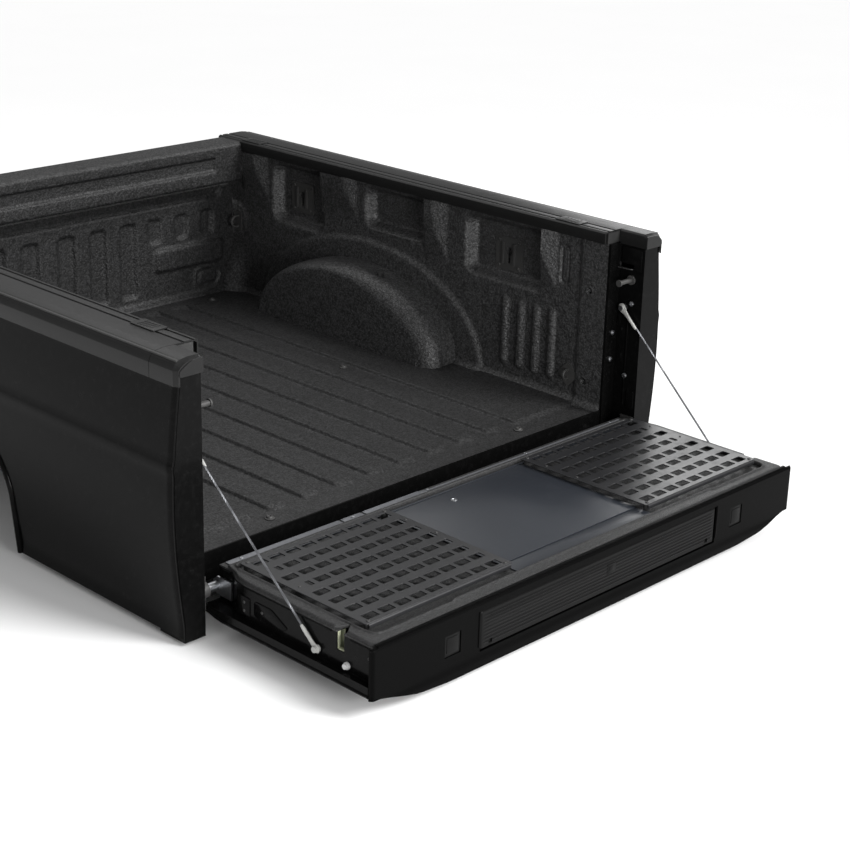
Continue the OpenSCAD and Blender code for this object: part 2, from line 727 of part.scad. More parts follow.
module side_latches() color("#a3ab86") place() both() {
  difference() {
    span([claw_x - 9, claw_pivot[0] - 16, latch_floor_z], [gate_half - sheet_t - fit, mouth_y + 34, -inner_t]);
    span([claw_x - 6, claw_pivot[0] - 13, latch_floor_z + 3], [claw_x + 6, mouth_y + 31, -inner_t + eps]);
    mouth_cut(mouth_z - mouth_w / 2, eps);
  }
  translate([0, claw_pivot[0], claw_pivot[1]]) rod_x(claw_x - 7, claw_x + 7, claw_pin_d);
}

module latch_claw(s) color("#c8cacd") place() sided(s)
  translate([claw_x - claw_t / 2, claw_pivot[0], claw_pivot[1]]) difference() {
    union() {
      rod_x(0, claw_t, claw_hub_d);
      along_x(0, claw_t) polygon([[-4, 0], [-3, claw_arm], [3, claw_arm], [4, 0]]);
    }
    rod_x(-eps, claw_t + eps, claw_pin_d + 2 * running);
  }

module bump_stops() color("#d0d0ca") place() both() translate([0, mouth_y - 24, anchor_z - 6]) {
  rod_x(gate_half, gate_half + 5, 18);
  rod_x(gate_half + 5, gate_half + 11, 13);
}

module hinge_trunnions() color("#77797d") place() both() {
  translate([0, hinge_y, hinge_z]) rod_x(gate_neck, rebate_x - 2, trunnion_d);
  translate([0, hinge_y, hinge_z]) along_x(gate_neck, gate_neck + 5) polygon([[14, -12], [14, 12],
    [0, 24], [gate_neck_y - hinge_y, 24], [gate_neck_y - hinge_y, -24], [0, -24]]);
}

cable_tilt = atan2(stud_y - anchor_y, stud_z - anchor_z);
upper_end_l = 78;
lower_end_l = 66;
cable_along = [0, sin(cable_tilt), cos(cable_tilt)];
cable_from = [lower_x, anchor_y, anchor_z] + (lower_end_l - 4) * cable_along;
cable_to = [upper_x, stud_y, stud_z] - (upper_end_l - 4) * cable_along;

module eye_end(l, d) difference() {
  union() {
    rotate([0, 90, 0]) translate([0, 0, -2]) cylinder(h = 4, d = d);
    translate([-2, -5, 0]) cube([4, 10, l - 20]);
    translate([0, 0, l - 34]) cylinder(h = 34, d = 9);
  }
  rotate([0, 90, 0]) translate([0, 0, -5]) cylinder(h = 10, d = stud_d + 2 * fit);
  translate([0, 0, l - 5]) cylinder(h = 6, d = cable_d + 2 * fit);
}

module upper_cable_ends() color("#c9cbc4") place() both() translate([upper_x, stud_y, stud_z])
  rotate([180 - cable_tilt, 0, 0]) eye_end(upper_end_l, 24);

module lower_cable_ends() color("#c9cbc4") place() both() translate([0, anchor_y, anchor_z]) {
  translate([lower_x, 0, 0]) rotate([-cable_tilt, 0, 0]) eye_end(lower_end_l, 22);
  rod_x(gate_half, lower_x + 4, stud_d);
  rod_x(lower_x + 4, lower_x + 7, 15);
}

module check_cable(s) color("#b4b6b8") place() sided(s) {
  d = cable_to - cable_from;
  translate(cable_from) rotate([0, acos(d[2] / norm(d)), atan2(d[1], d[0])]) cylinder(h = norm(d), d = cable_d);
}

// ---- Release handle and rods ----

module handle_bezel() color("#121213") place() difference() {
  union() {
    span([-bezel_half + fit, bezel_y[0] + fit, -gate_depth - 3], [bezel_half - fit, bezel_y[1] - fit, bezel_z]);
    span([-bezel_half - 6, bezel_y[0] - 6, -gate_depth - 3],
      [bezel_half + 6, bezel_y[1] + 6, -gate_depth - fit]);
  }
  span([-bezel_half + 5, bezel_y[0] + 5, -gate_depth - 4], [bezel_half - 5, bezel_y[1] - 5, bezel_z - 4]);
  translate([0, handle_y[0], handle_z]) rod_x(-bezel_half + 2, bezel_half - 2, pin_d + 2 * running);
}

module release_handle() color("#1a1a1b") place() {
  span([-handle_half, handle_y[0] + 6, handle_z - handle_t / 2],
    [handle_half, handle_y[1], handle_z + handle_t / 2]);
  translate([0, handle_y[0], handle_z]) {
    rod_x(-handle_half, handle_half, 16);
    rod_x(-bezel_half + 3, bezel_half - 3, pin_d);
  }
}

module latch_rod(s) color("#85888c") place() sided(s) {
  translate([0, rod_y, rod_z]) rod_x(70, claw_x - 46, rod_d);
  span([claw_x - 46, rod_y - 22, rod_z - 4], [claw_x - 40, rod_y + 5, rod_z + 30]);
}

// ---- Step ----

module step_guides() color("#3a3b3d") place() both() {
  difference() {
    span([guide_x - arm_w - 1, arm_y0 + 4, arm_z[0] - slide_gap - guide_w],
      [guide_x + guide_w, guide_y1, arm_z[1] + slide_gap + guide_w]);
    span([guide_x - arm_w - 2, arm_y0 - eps, arm_z[0] - slide_gap],
      [guide_x, guide_y1 + eps, arm_z[1] + slide_gap]);
  }
  span([guide_x - guide_w, arm_y0 + 4, arm_z[1] + slide_gap + guide_w],
    [guide_x + guide_w, guide_y1, -inner_t]);
  for (x = [150, claw_x - 100]) rod_block(x);
}

module rod_block(x) difference() {
  span([x - 8, rod_y - 9, x < guide_x ? sheet_t - gate_depth : rod_z - 10],
    [x + 8, rod_y + 9, x < guide_x ? rod_z + 10 : -inner_t]);
  translate([0, rod_y, rod_z]) rod_x(x - 10, x + 10, rod_d + 2 * fit);
}

module step_carriage() color("#4a4b4e") place() {
  both() {
    span([guide_x - arm_w + slide_gap, arm_y0, arm_z[0]], [guide_x - slide_gap, arm_y0 + arm_length, arm_z[1]]);
    difference() {
      span([flap_ear_x - flap_ear_w / 2, flap_pivot_y, flap_pivot_z - 5],
        [flap_ear_x + flap_ear_w / 2, arm_y0 + 20, arm_z[1]]);
      translate([0, flap_pivot_y - 6, flap_pivot_z + 12]) cube([2 * guide_x, 12, 200]);
    }
    translate([0, flap_pivot_y, flap_pivot_z]) rod_x(flap_ear_x - 14, flap_ear_x + 14, pin_d);
  }
  difference() {
    span([-guide_x + arm_w - slide_gap, arm_y0, arm_z[0] + 3],
      [guide_x - arm_w + slide_gap, arm_y0 + tread_l, arm_z[1] - 3]);
    for (i = [-4:4]) span([i * 92 - 42, arm_y0 + 14, arm_z[0] + 3 - eps],
      [i * 92 + 42, arm_y0 + tread_l - 12, arm_z[1] - 7]);
  }
}

module flap_notch(s) span([s * flap_ear_x - flap_ear_w / 2 - 1, flap_y[0] - eps, flap_z[0] - eps],
  [s * flap_ear_x + flap_ear_w / 2 + 1, flap_y[1] + eps, flap_pivot_z + 14]);

module step_flap() color("#1e1e20") place() difference() {
  along_x(-flap_half, flap_half) polygon([[flap_y[0], flap_z[1]], [flap_y[0], flap_z[0] + 3],
    [flap_y[0] + 3, flap_z[0]], [flap_y[1] - 3, flap_z[0]],
    [flap_y[1], flap_z[0] + 3], [flap_y[1], flap_z[1]]]);
  for (s = sides) flap_notch(s);
  translate([0, flap_pivot_y, flap_pivot_z]) both()
    rod_x(flap_ear_x - 16, flap_ear_x + 16, pin_d + 2 * running);
  for (z = grip_lines_z) span([-flap_half + 12, flap_y[0] - eps, z], [flap_half - 12, flap_y[0] + 1.2, z + 3]);
  span([button_x - button_w / 2, flap_y[0] - eps, button_z - button_h / 2],
    [button_x + button_w / 2, flap_y[1] + eps, button_z + button_h / 2]);
}

module step_button() color("#151516") place()
  span([button_x - button_w / 2 + fit, flap_y[0], button_z - button_h / 2 + fit],
    [button_x + button_w / 2 - fit, flap_y[1] + 1, button_z + button_h / 2 - fit]);

floor_liner();
floor_pan();
front_wall_liner();
front_header();
side_liner(-1);  // side_liner_left
side_liner(1);  // side_liner_right
wheel_arch_liner(-1);  // wheel_arch_liner_left
wheel_arch_liner(1);  // wheel_arch_liner_right
rail_cap(-1);  // rail_cap_left
rail_cap(1);  // rail_cap_right
stake_pocket_covers();
corner_post(-1);  // corner_post_left
corner_post(1);  // corner_post_right
side_frame(-1);  // side_frame_left
side_frame(1);  // side_frame_right
outer_panel(-1);  // outer_panel_left
outer_panel(1);  // outer_panel_right
rear_sill();
cross_sills();
mount_pads();
tie_down_plates();
tie_plate_screws();
floor_bolts();
front_tie_loops();
rear_tie_downs();
strikers();
cable_studs();
post_bolts();
hinge_cups();
upper_cable_ends();
arch_plugs();
tailgate_shell();
tailgate_inner_panel();
tailgate_rim();
tailgate_top_cap();
cap_plugs();
centre_plate();
slotted_panel(-1);  // slotted_panel_left
slotted_panel(1);  // slotted_panel_right
panel_spacers();
panel_screws();
edge_trim_strip();
trim_screws();
side_latches();
bump_stops();
hinge_trunnions();
lower_cable_ends();
handle_bezel();
step_guides();
check_cable(-1);  // check_cable_left
check_cable(1);  // check_cable_right
latch_claw(-1);  // latch_claw_left
latch_claw(1);  // latch_claw_right
release_handle();
latch_rod(-1);  // latch_rod_left
latch_rod(1);  // latch_rod_right
step_carriage();
step_flap();
step_button();
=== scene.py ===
import math

import bmesh
import bpy
import numpy as np
from mathutils import Matrix, Vector


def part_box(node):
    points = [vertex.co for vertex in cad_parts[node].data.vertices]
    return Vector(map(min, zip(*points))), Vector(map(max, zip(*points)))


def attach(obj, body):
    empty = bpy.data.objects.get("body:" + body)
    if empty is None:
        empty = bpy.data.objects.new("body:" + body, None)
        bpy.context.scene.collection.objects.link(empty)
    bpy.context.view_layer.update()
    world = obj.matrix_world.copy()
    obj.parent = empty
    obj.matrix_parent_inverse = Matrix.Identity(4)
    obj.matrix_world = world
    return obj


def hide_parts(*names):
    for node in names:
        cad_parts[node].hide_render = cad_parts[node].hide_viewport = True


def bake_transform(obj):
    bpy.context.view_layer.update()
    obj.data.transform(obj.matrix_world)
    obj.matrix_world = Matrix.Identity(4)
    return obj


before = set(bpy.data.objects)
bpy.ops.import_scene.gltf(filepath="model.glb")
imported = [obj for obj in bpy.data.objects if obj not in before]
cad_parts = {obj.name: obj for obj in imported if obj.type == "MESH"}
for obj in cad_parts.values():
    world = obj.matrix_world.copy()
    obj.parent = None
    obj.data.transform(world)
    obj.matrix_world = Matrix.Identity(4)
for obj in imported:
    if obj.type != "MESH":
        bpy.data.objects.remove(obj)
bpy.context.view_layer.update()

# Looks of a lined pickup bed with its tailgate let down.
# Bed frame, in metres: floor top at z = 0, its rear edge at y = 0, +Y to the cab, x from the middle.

# ---- Sizes, from the frame ----

FLOOR_LO, FLOOR_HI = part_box("floor_liner")
SHIFT = Vector((0, FLOOR_LO.y, FLOOR_HI.z))


def bed_box(node):
    """Lowest and highest corner of a CAD node in the bed frame."""
    lo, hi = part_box(node)
    return lo - SHIFT, hi - SHIFT


HALF = FLOOR_HI.x
LENGTH = FLOOR_HI.y - FLOOR_LO.y
FLOOR_T = FLOOR_HI.z - FLOOR_LO.z
ARCH_LO, ARCH_HI = bed_box("wheel_arch_liner_right")
ARCH_X, ARCH_H = ARCH_LO.x, ARCH_HI.z
ARCH_Y, ARCH_HALF = (ARCH_LO.y + ARCH_HI.y) / 2, (ARCH_HI.y - ARCH_LO.y) / 2
WALL_LO, WALL_HI = bed_box("side_liner_right")
CAP_LO, CAP_HI = bed_box("rail_cap_right")
HEAD_LO, HEAD_HI = bed_box("front_header")
POST_LO = bed_box("corner_post_right")[0]
OUTER_LO, OUTER_HI = bed_box("outer_panel_right")
GATE_HI = bed_box("tailgate_inner_panel")[1]
RIM_LO, RIM_HI = bed_box("tailgate_rim")
FACE_LO, FACE_HI = bed_box("tailgate_top_cap")
FLAP_LO, FLAP_HI = bed_box("step_flap")
BUTTON_LO, BUTTON_HI = bed_box("step_button")
PANEL_LO, PANEL_HI = bed_box("slotted_panel_right")
PLATE_LO, PLATE_HI = bed_box("centre_plate")
STRIP_LO, STRIP_HI = bed_box("edge_trim_strip")
PLUG_LO, PLUG_HI = bed_box("cap_plugs")
SIDES = {"left": -1, "right": 1}


# ---- Node graphs ----

class Value:
    """An output socket that takes part in sums: each operator adds its Math node."""

    def __init__(self, graph, socket):
        self.graph, self.socket = graph, socket

    def also(self, name):
        """Another output of the same node."""
        return Value(self.graph, self.socket.node.outputs[name])

    def sum(self, operation, *values):
        return self.graph.node("ShaderNodeMath", {"operation": operation}, values)

    def __add__(self, other):
        return self.sum("ADD", self, other)

    def __sub__(self, other):
        return self.sum("SUBTRACT", self, other)

    def __rsub__(self, other):
        return self.sum("SUBTRACT", other, self)

    def __mul__(self, other):
        return self.sum("MULTIPLY", self, other)

    def __pow__(self, other):
        return self.sum("POWER", self, other)

    __radd__, __rmul__ = __add__, __mul__


class Graph:
    """A node tree that is written as calls: node() takes a type, its settings and its sockets."""

    def __init__(self, tree):
        self.tree = tree

    def node(self, kind, settings=None, sockets=(), out=0):
        made = self.tree.nodes.new(kind)
        for name, value in (settings or {}).items():
            if name == "stops":
                for stop, (place, shade) in zip(made.color_ramp.elements, value):
                    stop.position, stop.color = place, shade
            else:
                setattr(made, name, value)
        for key, value in sockets.items() if isinstance(sockets, dict) else enumerate(sockets):
            if isinstance(value, Value):
                self.tree.links.new(value.socket, made.inputs[key])
            else:
                made.inputs[key].default_value = value
        return Value(self, made.outputs[out]) if made.outputs else None

    def ramp(self, value, low, high):
        """0 up to low, 1 from high."""
        stops = [(low, (0, 0, 0, 1)), (high, (1, 1, 1, 1))]
        return self.node("ShaderNodeValToRGB", {"stops": stops}, [value])

    def mix(self, factor, first, second):
        return self.node("ShaderNodeMix", {"data_type": "RGBA"}, {0: factor, 6: first, 7: second}, out=2)

    def noise(self, scale, detail=2.0, rough=0.5, stretch=(1, 1, 1)):
        place = self.node("ShaderNodeTexCoord", out="Object")
        place = self.node("ShaderNodeMapping", {}, {"Vector": place, "Scale": stretch})
        return self.node("ShaderNodeTexNoise", {},
                         {"Vector": place, "Scale": scale, "Detail": detail, "Roughness": rough})

    def cells(self, scale, feature="F1"):
        place = self.node("ShaderNodeTexCoord", out="Object")
        return self.node("ShaderNodeTexVoronoi", {"feature": feature}, {"Vector": place, "Scale": scale})


def grey(value, tint=(1, 1, 1)):
    return (value * tint[0], value * tint[1], value * tint[2], 1)


def finish(name, look):
    """A material whose look is a function of its graph and returns the shader's sockets."""
    made = bpy.data.materials.new(name)
    made.use_nodes = True
    made.node_tree.nodes.clear()
    graph = Graph(made.node_tree)
    sockets = look(graph)
    bump = sockets.pop("bump", None)
    if bump:
        height, depth = bump
        sockets["Normal"] = graph.node("ShaderNodeBump", {}, {"Height": height, "Distance": depth})
    shader = graph.node("ShaderNodeBsdfPrincipled", {}, sockets)
    graph.node("ShaderNodeOutputMaterial", {}, {"Surface": shader})
    made.diffuse_color = (0.1, 0.1, 0.1, 1)
    return made


# ---- Finishes ----

def sprayed(dark, light, grain, depth, dust=0.0, shine=0.35):
    """Sprayed polyurethane: pebbled skin; pale specks where a grain stands up are painted highlights
    (glints), and the grain there is a little glossier.
    """
    def look(g):
        pebbles = g.cells(grain, "SMOOTH_F1")
        fine = g.noise(grain * 2.1, 3)
        clumps = g.noise(grain * 0.4, 4, 0.7)
        broad = g.noise(2.6, 4, 0.6)
        height = (1 - pebbles) * 0.6 + fine * 0.4 + clumps * 0.9
        # Pale specks on the raised grain: painted highlight (glints) in the base colour; the same mask also
        # lowers the roughness there.
        painted_glint = g.ramp(fine * 0.45 + (1 - pebbles) * 0.35 + clumps * 0.35, 0.52, 0.78)
        worn = g.ramp(broad, 0.35, 0.75)
        tone = g.mix(painted_glint, grey(dark), grey(light, (1, 1, 1.02)))
        tone = g.mix(worn * dust, tone, grey(light * 1.5, (1, 0.99, 0.97)))
        return {"Base Color": tone, "Roughness": 0.56 - painted_glint * 0.18, "bump": (height, depth),
                "Specular IOR Level": shine}
    return look


def moulded(tone, rough, grain=900, depth=0.00012, tint=(1, 1, 1), shine=0.4):
    """Moulded plastic with a fine leather-like grain."""
    def look(g):
        skin = g.cells(grain, "F1")
        cloud = g.noise(5, 3)
        shade = g.mix(cloud, grey(tone * 0.85, tint), grey(tone * 1.2, tint))
        return {"Base Color": shade, "Roughness": rough + cloud * 0.08 - 0.04, "bump": (skin, depth),
                "Specular IOR Level": shine}
    return look


def powder(tone, rough, tint=(1, 1, 1), depth=0.00006):
    """Powder coat: a slight orange peel over a fine sparkle."""
    def look(g):
        peel = g.noise(700, 2)
        cloud = g.noise(3.5, 3)
        shade = g.mix(cloud, grey(tone * 0.86, tint), grey(tone * 1.16, tint))
        rub = g.ramp(g.noise(14, 5, 0.7), 0.5, 0.8)
        return {"Base Color": shade, "Roughness": rough + rub * 0.12, "bump": (peel, depth),
                "Specular IOR Level": 0.45}
    return look


def gloss(g):
    """Black body paint under clear coat, with faint dust."""
    dust = g.ramp(g.noise(60, 5, 0.7), 0.5, 0.75)
    return {"Base Color": g.mix(dust * 0.4, grey(0.003), grey(0.010)), "Roughness": 0.18 + dust * 0.14,
            "Coat Weight": 0.02 + dust * 0.02, "Coat Roughness": 0.04, "Specular IOR Level": 0.05,
            "bump": (g.noise(220, 1), 0.00002)}


def coated_steel(tone):
    """Dipped or sprayed frame steel, a little blotched."""
    def look(g):
        blotch = g.noise(9, 5, 0.65)
        shade = g.mix(g.ramp(blotch, 0.35, 0.7), grey(tone * 0.75), grey(tone * 1.25, (1.02, 1, 0.97)))
        return {"Base Color": shade, "Roughness": 0.42 + blotch * 0.2, "bump": (g.noise(160, 3), 0.0001)}
    return look


def plated(color, rough, metal=1.0):
    """Plated or bare metal, clouded and finely scratched."""
    def look(g):
        cloud = g.noise(70, 4, 0.6)
        lines = g.noise(500, 2, 0.5, (1, 0.08, 1))
        dull = tuple(c * 0.62 for c in color)
        return {"Base Color": g.mix(cloud, (*color, 1), (*dull, 1)), "Metallic": metal,
                "Roughness": rough + lines * 0.16, "bump": (lines, 0.00002)}
    return look


def rubber(tone):
    def look(g):
        return {"Base Color": g.mix(g.noise(30, 4), grey(tone * 0.8), grey(tone * 1.3)),
                "Roughness": 0.78 + g.noise(120, 2) * 0.1, "bump": (g.noise(600, 3), 0.00012)}
    return look


FINISHES = {
    "liner_floor": finish("sprayed_floor", sprayed(0.011, 0.046, 190, 0.0016, 0.06, 0.22)),
    "liner_wall": finish("sprayed_wall", sprayed(0.008, 0.068, 170, 0.0024, 0.02, 0.55)),
    "pan_metal": finish("pan_steel", coated_steel(0.05)),
    "frame_metal": finish("frame_steel", coated_steel(0.018)),
    "rail_plastic": finish("rail_plastic", moulded(0.009, 0.38, 700, 0.00016, shine=0.22)),
    "gloss_black": finish("body_paint", gloss),
    "gate_plastic": finish("gate_plastic", moulded(0.004, 0.36, 1000, 0.00008, shine=0.07)),
    "panel_coat": finish("panel_powder", powder(0.016, 0.34, (0.97, 0.98, 1.06))),
    # The centre plate's blue tint is a painted reflection; its dark tone is the plate's own.
    "plate_coat": finish("plate_powder_painted_blue_reflection", powder(0.022, 0.36, (0.84, 0.97, 1.24))),
    "trim_metal": finish("trim_satin", plated((0.20, 0.205, 0.22), 0.40, 0.6)),
    "zinc": finish("bright_zinc", plated((0.50, 0.51, 0.53), 0.28)),
    "yellow_zinc": finish("olive_zinc", plated((0.62, 0.65, 0.47), 0.36, 0.30)),
    "dark_steel": finish("cast_steel", coated_steel(0.035)),
    "cable_steel": finish("drawn_wire", plated((0.26, 0.265, 0.28), 0.36)),
    "pale_fitting": finish("pale_sleeve", moulded(0.34, 0.36, 300, 0.0001, (1, 1, 0.96))),
    "rubber_black": finish("black_rubber", rubber(0.014)),
    "bumper_pale": finish("pale_rubber", rubber(0.50)),
}
RIM_FINISH = finish("sprayed_rim", sprayed(0.012, 0.050, 380, 0.0005, 0.05, 0.30))
# A darker copy of the wall's spray liner for the front wall and header: painted shade, as these faces meet
# the rear light head-on.
SHADED_FRONT_FINISH = finish("front_liner_painted_shade", sprayed(0.005, 0.034, 170, 0.0024, 0.015, 0.30))
# A darker, less shiny copy of the gate plastic for the tailgate's rear face: painted shade where the rear
# light falls on it.
SHADED_REAR_FINISH = finish("rear_plastic_painted_shade", moulded(0.001, 0.40, 1000, 0.00008, shine=0.03))


# ---- Mesh helpers ----

def ease(x, a, b):
    t = np.clip((x - a) / (b - a), 0, 1)
    return t * t * (3 - 2 * t)


def lines(lo, hi, step, *focus):
    """Grid lines from lo to hi, closer within each (centre, half, step) of focus."""
    found = [np.linspace(lo, hi, max(2, round((hi - lo) / step) + 1))]
    for centre, half, fine in focus:
        found.append(np.arange(centre - half, centre + half + fine / 2, fine))
    merged = np.unique(np.concatenate(found))
    merged = merged[(merged >= lo) & (merged <= hi)]
    return merged[np.concatenate([[True], np.diff(merged) > 0.0003])]


def away(u, v, box, r):
    """Distance outside a rounded rectangle (u0, u1, v0, v1), negative inside."""
    u0, u1, v0, v1 = box
    du = np.abs(u - (u0 + u1) / 2) - (u1 - u0) / 2 + r
    dv = np.abs(v - (v0 + v1) / 2) - (v1 - v0) / 2 + r
    return np.hypot(np.maximum(du, 0), np.maximum(dv, 0)) + np.minimum(np.maximum(du, dv), 0) - r


def pad(u, v, box, r, soft):
    """1 inside a rounded rectangle, easing to 0 at its edge over a border of width soft."""
    return 1 - ease(away(u, v, box, r), -soft, 0)


def from_ellipse(y, z, a, b):
    """Distance outside the wheel arch's ellipse with half-axes a and b."""
    p, q = (y - ARCH_Y) / a, z / b
    f = np.hypot(p, q)
    slope = np.hypot(p / a, q / b) / np.maximum(f, 1e-6)
    return (f - 1) / np.maximum(slope, 1e-6)


def slab(us, vs, front, back, keep=None):
    """Front and back sheets over a grid, closed round every edge. keep(u, v) says which cells stay."""
    u, v = np.meshgrid(us, vs, indexing="ij")
    sheets = np.concatenate([np.stack(sheet(u, v), -1).reshape(-1, 3) for sheet in (front, back)])
    n, m = u.shape
    at = np.arange(n * m).reshape(n, m)
    kept = np.ones((n - 1, m - 1), bool)
    if keep:
        kept = keep((u[1:, 1:] + u[:-1, :-1]) / 2, (v[1:, 1:] + v[:-1, :-1]) / 2)
    cells = np.stack([at[:-1, :-1], at[1:, :-1], at[1:, 1:], at[:-1, 1:]], -1)[kept]
    shown = np.pad(kept, 1)
    along = np.stack([at[:-1], at[1:]], -1)[shown[1:-1, :-1] != shown[1:-1, 1:]]
    across = np.stack([at[:, :-1], at[:, 1:]], -1)[shown[:-1, 1:-1] != shown[1:, 1:-1]]
    rims = np.concatenate([along, across])
    rims = np.stack([rims[:, 0], rims[:, 1], rims[:, 1] + n * m, rims[:, 0] + n * m], -1)
    faces = np.concatenate([cells, cells[:, ::-1] + n * m, rims])
    used, faces = np.unique(faces, return_inverse=True)
    return sheets[used], faces.reshape(-1, 4)


def loft(stations, ring):
    """A closed ring of points carried through stations, shut at both ends."""
    rings = np.array([ring(s) for s in stations])
    n, k = rings.shape[:2]
    at = np.arange(n * k).reshape(n, k)
    turn = np.roll(at, -1, 1)
    faces = np.stack([at[:-1], turn[:-1], turn[1:], at[1:]], -1).reshape(-1, 4).tolist()
    return rings.reshape(-1, 3), faces + [at[0].tolist(), at[-1][::-1].tolist()]


def hoop(rings):
    """Rings of points joined one to the next and the last to the first, as a closed tube."""
    rings = np.array(rings)
    n, k = rings.shape[:2]
    at = np.arange(n * k).reshape(n, k)
    nxt = np.roll(at, -1, 0)
    faces = np.stack([at, np.roll(at, -1, 1), np.roll(nxt, -1, 1), nxt], -1).reshape(-1, 4)
    return rings.reshape(-1, 3), faces.tolist()


def arc(cx, cy, r, a0, a1, n=6):
    """Points round a corner, angles in degrees."""
    turns = [math.radians(a0 + (a1 - a0) * i / n) for i in range(n + 1)]
    return [(cx + r * math.cos(a), cy + r * math.sin(a)) for a in turns]


def rounded(points, radii, n=5):
    """A closed outline with each corner rounded by its radius."""
    out = []
    for i, p in enumerate(points):
        r = radii[i] if hasattr(radii, "__len__") else radii
        here, before, after = np.array(p), np.array(points[i - 1]), np.array(points[(i + 1) % len(points)])
        a, b = before - here, after - here
        reach = min(r, 0.49 * np.linalg.norm(a), 0.49 * np.linalg.norm(b))
        a, b = here + a / np.linalg.norm(a) * reach, here + b / np.linalg.norm(b) * reach
        if reach < 1e-5:
            out.append(tuple(here))
            continue
        for j in range(n + 1):
            t = j / n
            out.append(tuple((1 - t) ** 2 * a + 2 * t * (1 - t) * here + t * t * b))
    return out


def rect(u0, u1, v0, v1, r, n=5):
    return rounded([(u0, v0), (u1, v0), (u1, v1), (u0, v1)], r, n)


def inset(points, by):
    """A convex outline drawn in by a small amount."""
    p = np.array(points)
    before, after = np.roll(p, 1, 0), np.roll(p, -1, 0)
    along = after - before
    out = np.stack([along[:, 1], -along[:, 0]], -1)
    out /= np.maximum(np.linalg.norm(out, axis=1, keepdims=True), 1e-9)
    area = np.sum(p[:, 0] * np.roll(p[:, 1], -1) - p[:, 1] * np.roll(p[:, 0], -1))
    return p - out * by * (1 if area > 0 else -1)


def plate(points, low, high, edge, place):
    """A flat plate with rounded edges on its high side. place(u, v, h) gives a point."""
    steps = [(low, 0), (high - edge, 0), (high - edge * 0.3, edge * 0.3), (high, edge)]

    def ring(step):
        height, by = step
        return [place(u, v, height) for u, v in inset(points, by)]
    return loft(steps, ring)


def lathe(profile, place, n=24):
    """A profile of (radius, height) turned about an axis. place(u, v, h) gives a point."""
    rings = []
    for i in range(n):
        a = 2 * math.pi * i / n
        rings.append([place(r * math.cos(a), r * math.sin(a), h) for r, h in profile])
    rings = np.array(rings)
    k = len(profile)
    at = np.arange(n * k).reshape(n, k)
    turn = np.roll(at, -1, 0)
    faces = np.stack([at[:, :-1], turn[:, :-1], turn[:, 1:], at[:, 1:]], -1).reshape(-1, 4).tolist()
    return rings.reshape(-1, 3), faces + [at[:, 0].tolist(), at[:, -1][::-1].tolist()]


def joined(*parts):
    verts, faces, base = [], [], 0
    for points, quads in parts:
        verts.append(np.array(points, float).reshape(-1, 3))
        faces += [[int(i) + base for i in face] for face in quads]
        base += len(verts[-1])
    return np.concatenate(verts), faces


def on_side(side, part):
    """The part for one side: x grows outwards in the part, and the left is its mirror."""
    points, faces = part
    points = np.array(points, float).reshape(-1, 3) * (side, 1, 1)
    return points, faces


def both(part):
    return joined(on_side(-1, part), on_side(1, part))


def clean(mesh, angle=38):
    """Doubles merged, faces outwards, smooth between faces that meet at less than angle."""
    work = bmesh.new()
    work.from_mesh(mesh)
    bmesh.ops.remove_doubles(work, verts=work.verts, dist=1e-6)
    bmesh.ops.dissolve_degenerate(work, edges=work.edges, dist=1e-7)
    bmesh.ops.recalc_face_normals(work, faces=work.faces)
    work.to_mesh(mesh)
    work.free()
    mesh.shade_smooth()
    mesh.set_sharp_from_angle(angle=math.radians(angle))
    return mesh


def as_mesh(name, part):
    points, faces = part
    mesh = bpy.data.meshes.new(name)
    moved = np.array(points, float).reshape(-1, 3) + np.array(SHIFT)
    mesh.from_pydata(moved.tolist(), [], [list(map(int, face)) for face in faces])
    return mesh


def settle(name, mesh, slot, body, *nodes, look=None):
    """A finished piece at the origin that stands for CAD nodes and rides on a body."""
    if not mesh.materials:
        mesh.materials.append(look or FINISHES[slot])
    piece = bpy.data.objects.new(name, mesh)
    bpy.context.scene.collection.objects.link(piece)
    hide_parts(*nodes)
    if isinstance(body, str):
        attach(piece, body)
    return piece


def make(name, part, slot, body, *nodes, look=None, angle=38):
    return settle(name, clean(as_mesh(name, part), angle), slot, body, *nodes, look=look)


# ---- Geometry node trees ----

SOCKETS = {"Geometry": "Geometry", "Template": "Object", "Finish": "Material", "Radius": "Float",
           "Flatness": "Float", "Sides": "Int", "Closed": "Bool", "Size": "Float", "Strands": "Int",
           "Wire": "Float", "Lay": "Float", "Rings": "Int"}


def new_tree(name, *inputs):
    """An empty geometry tree with named inputs, and its graph and input sockets."""
    tree = bpy.data.node_groups.new(name, "GeometryNodeTree")
    for given in inputs:
        tree.interface.new_socket(given, in_out="INPUT", socket_type="NodeSocket" + SOCKETS[given])
    tree.interface.new_socket("Geometry", in_out="OUTPUT", socket_type="NodeSocketGeometry")
    graph = Graph(tree)
    entry = graph.node("NodeGroupInput")
    return tree, graph, {given: entry.also(given) for given in inputs}


def end_tree(graph, shape, look):
    shape = graph.node("GeometryNodeSetMaterial", {}, {"Geometry": shape, "Material": look})
    graph.node("NodeGroupOutput", {}, [shape])


def scatter_tree():
    """A template set down at each point, turned as the point's own turn says."""
    tree, g, given = new_tree("set_down", "Geometry", "Template", "Finish", "Size")
    template = g.node("GeometryNodeObjectInfo", {}, {"Object": given["Template"]}, out="Geometry")
    turn = g.node("GeometryNodeInputNamedAttribute", {"data_type": "FLOAT_VECTOR"}, {"Name": "turn"})
    placed = g.node("GeometryNodeInstanceOnPoints", {},
                    {"Points": given["Geometry"], "Instance": template, "Rotation": turn,
                     "Scale": given["Size"]})
    end_tree(g, g.node("GeometryNodeRealizeInstances", {}, [placed]), given["Finish"])
    return tree


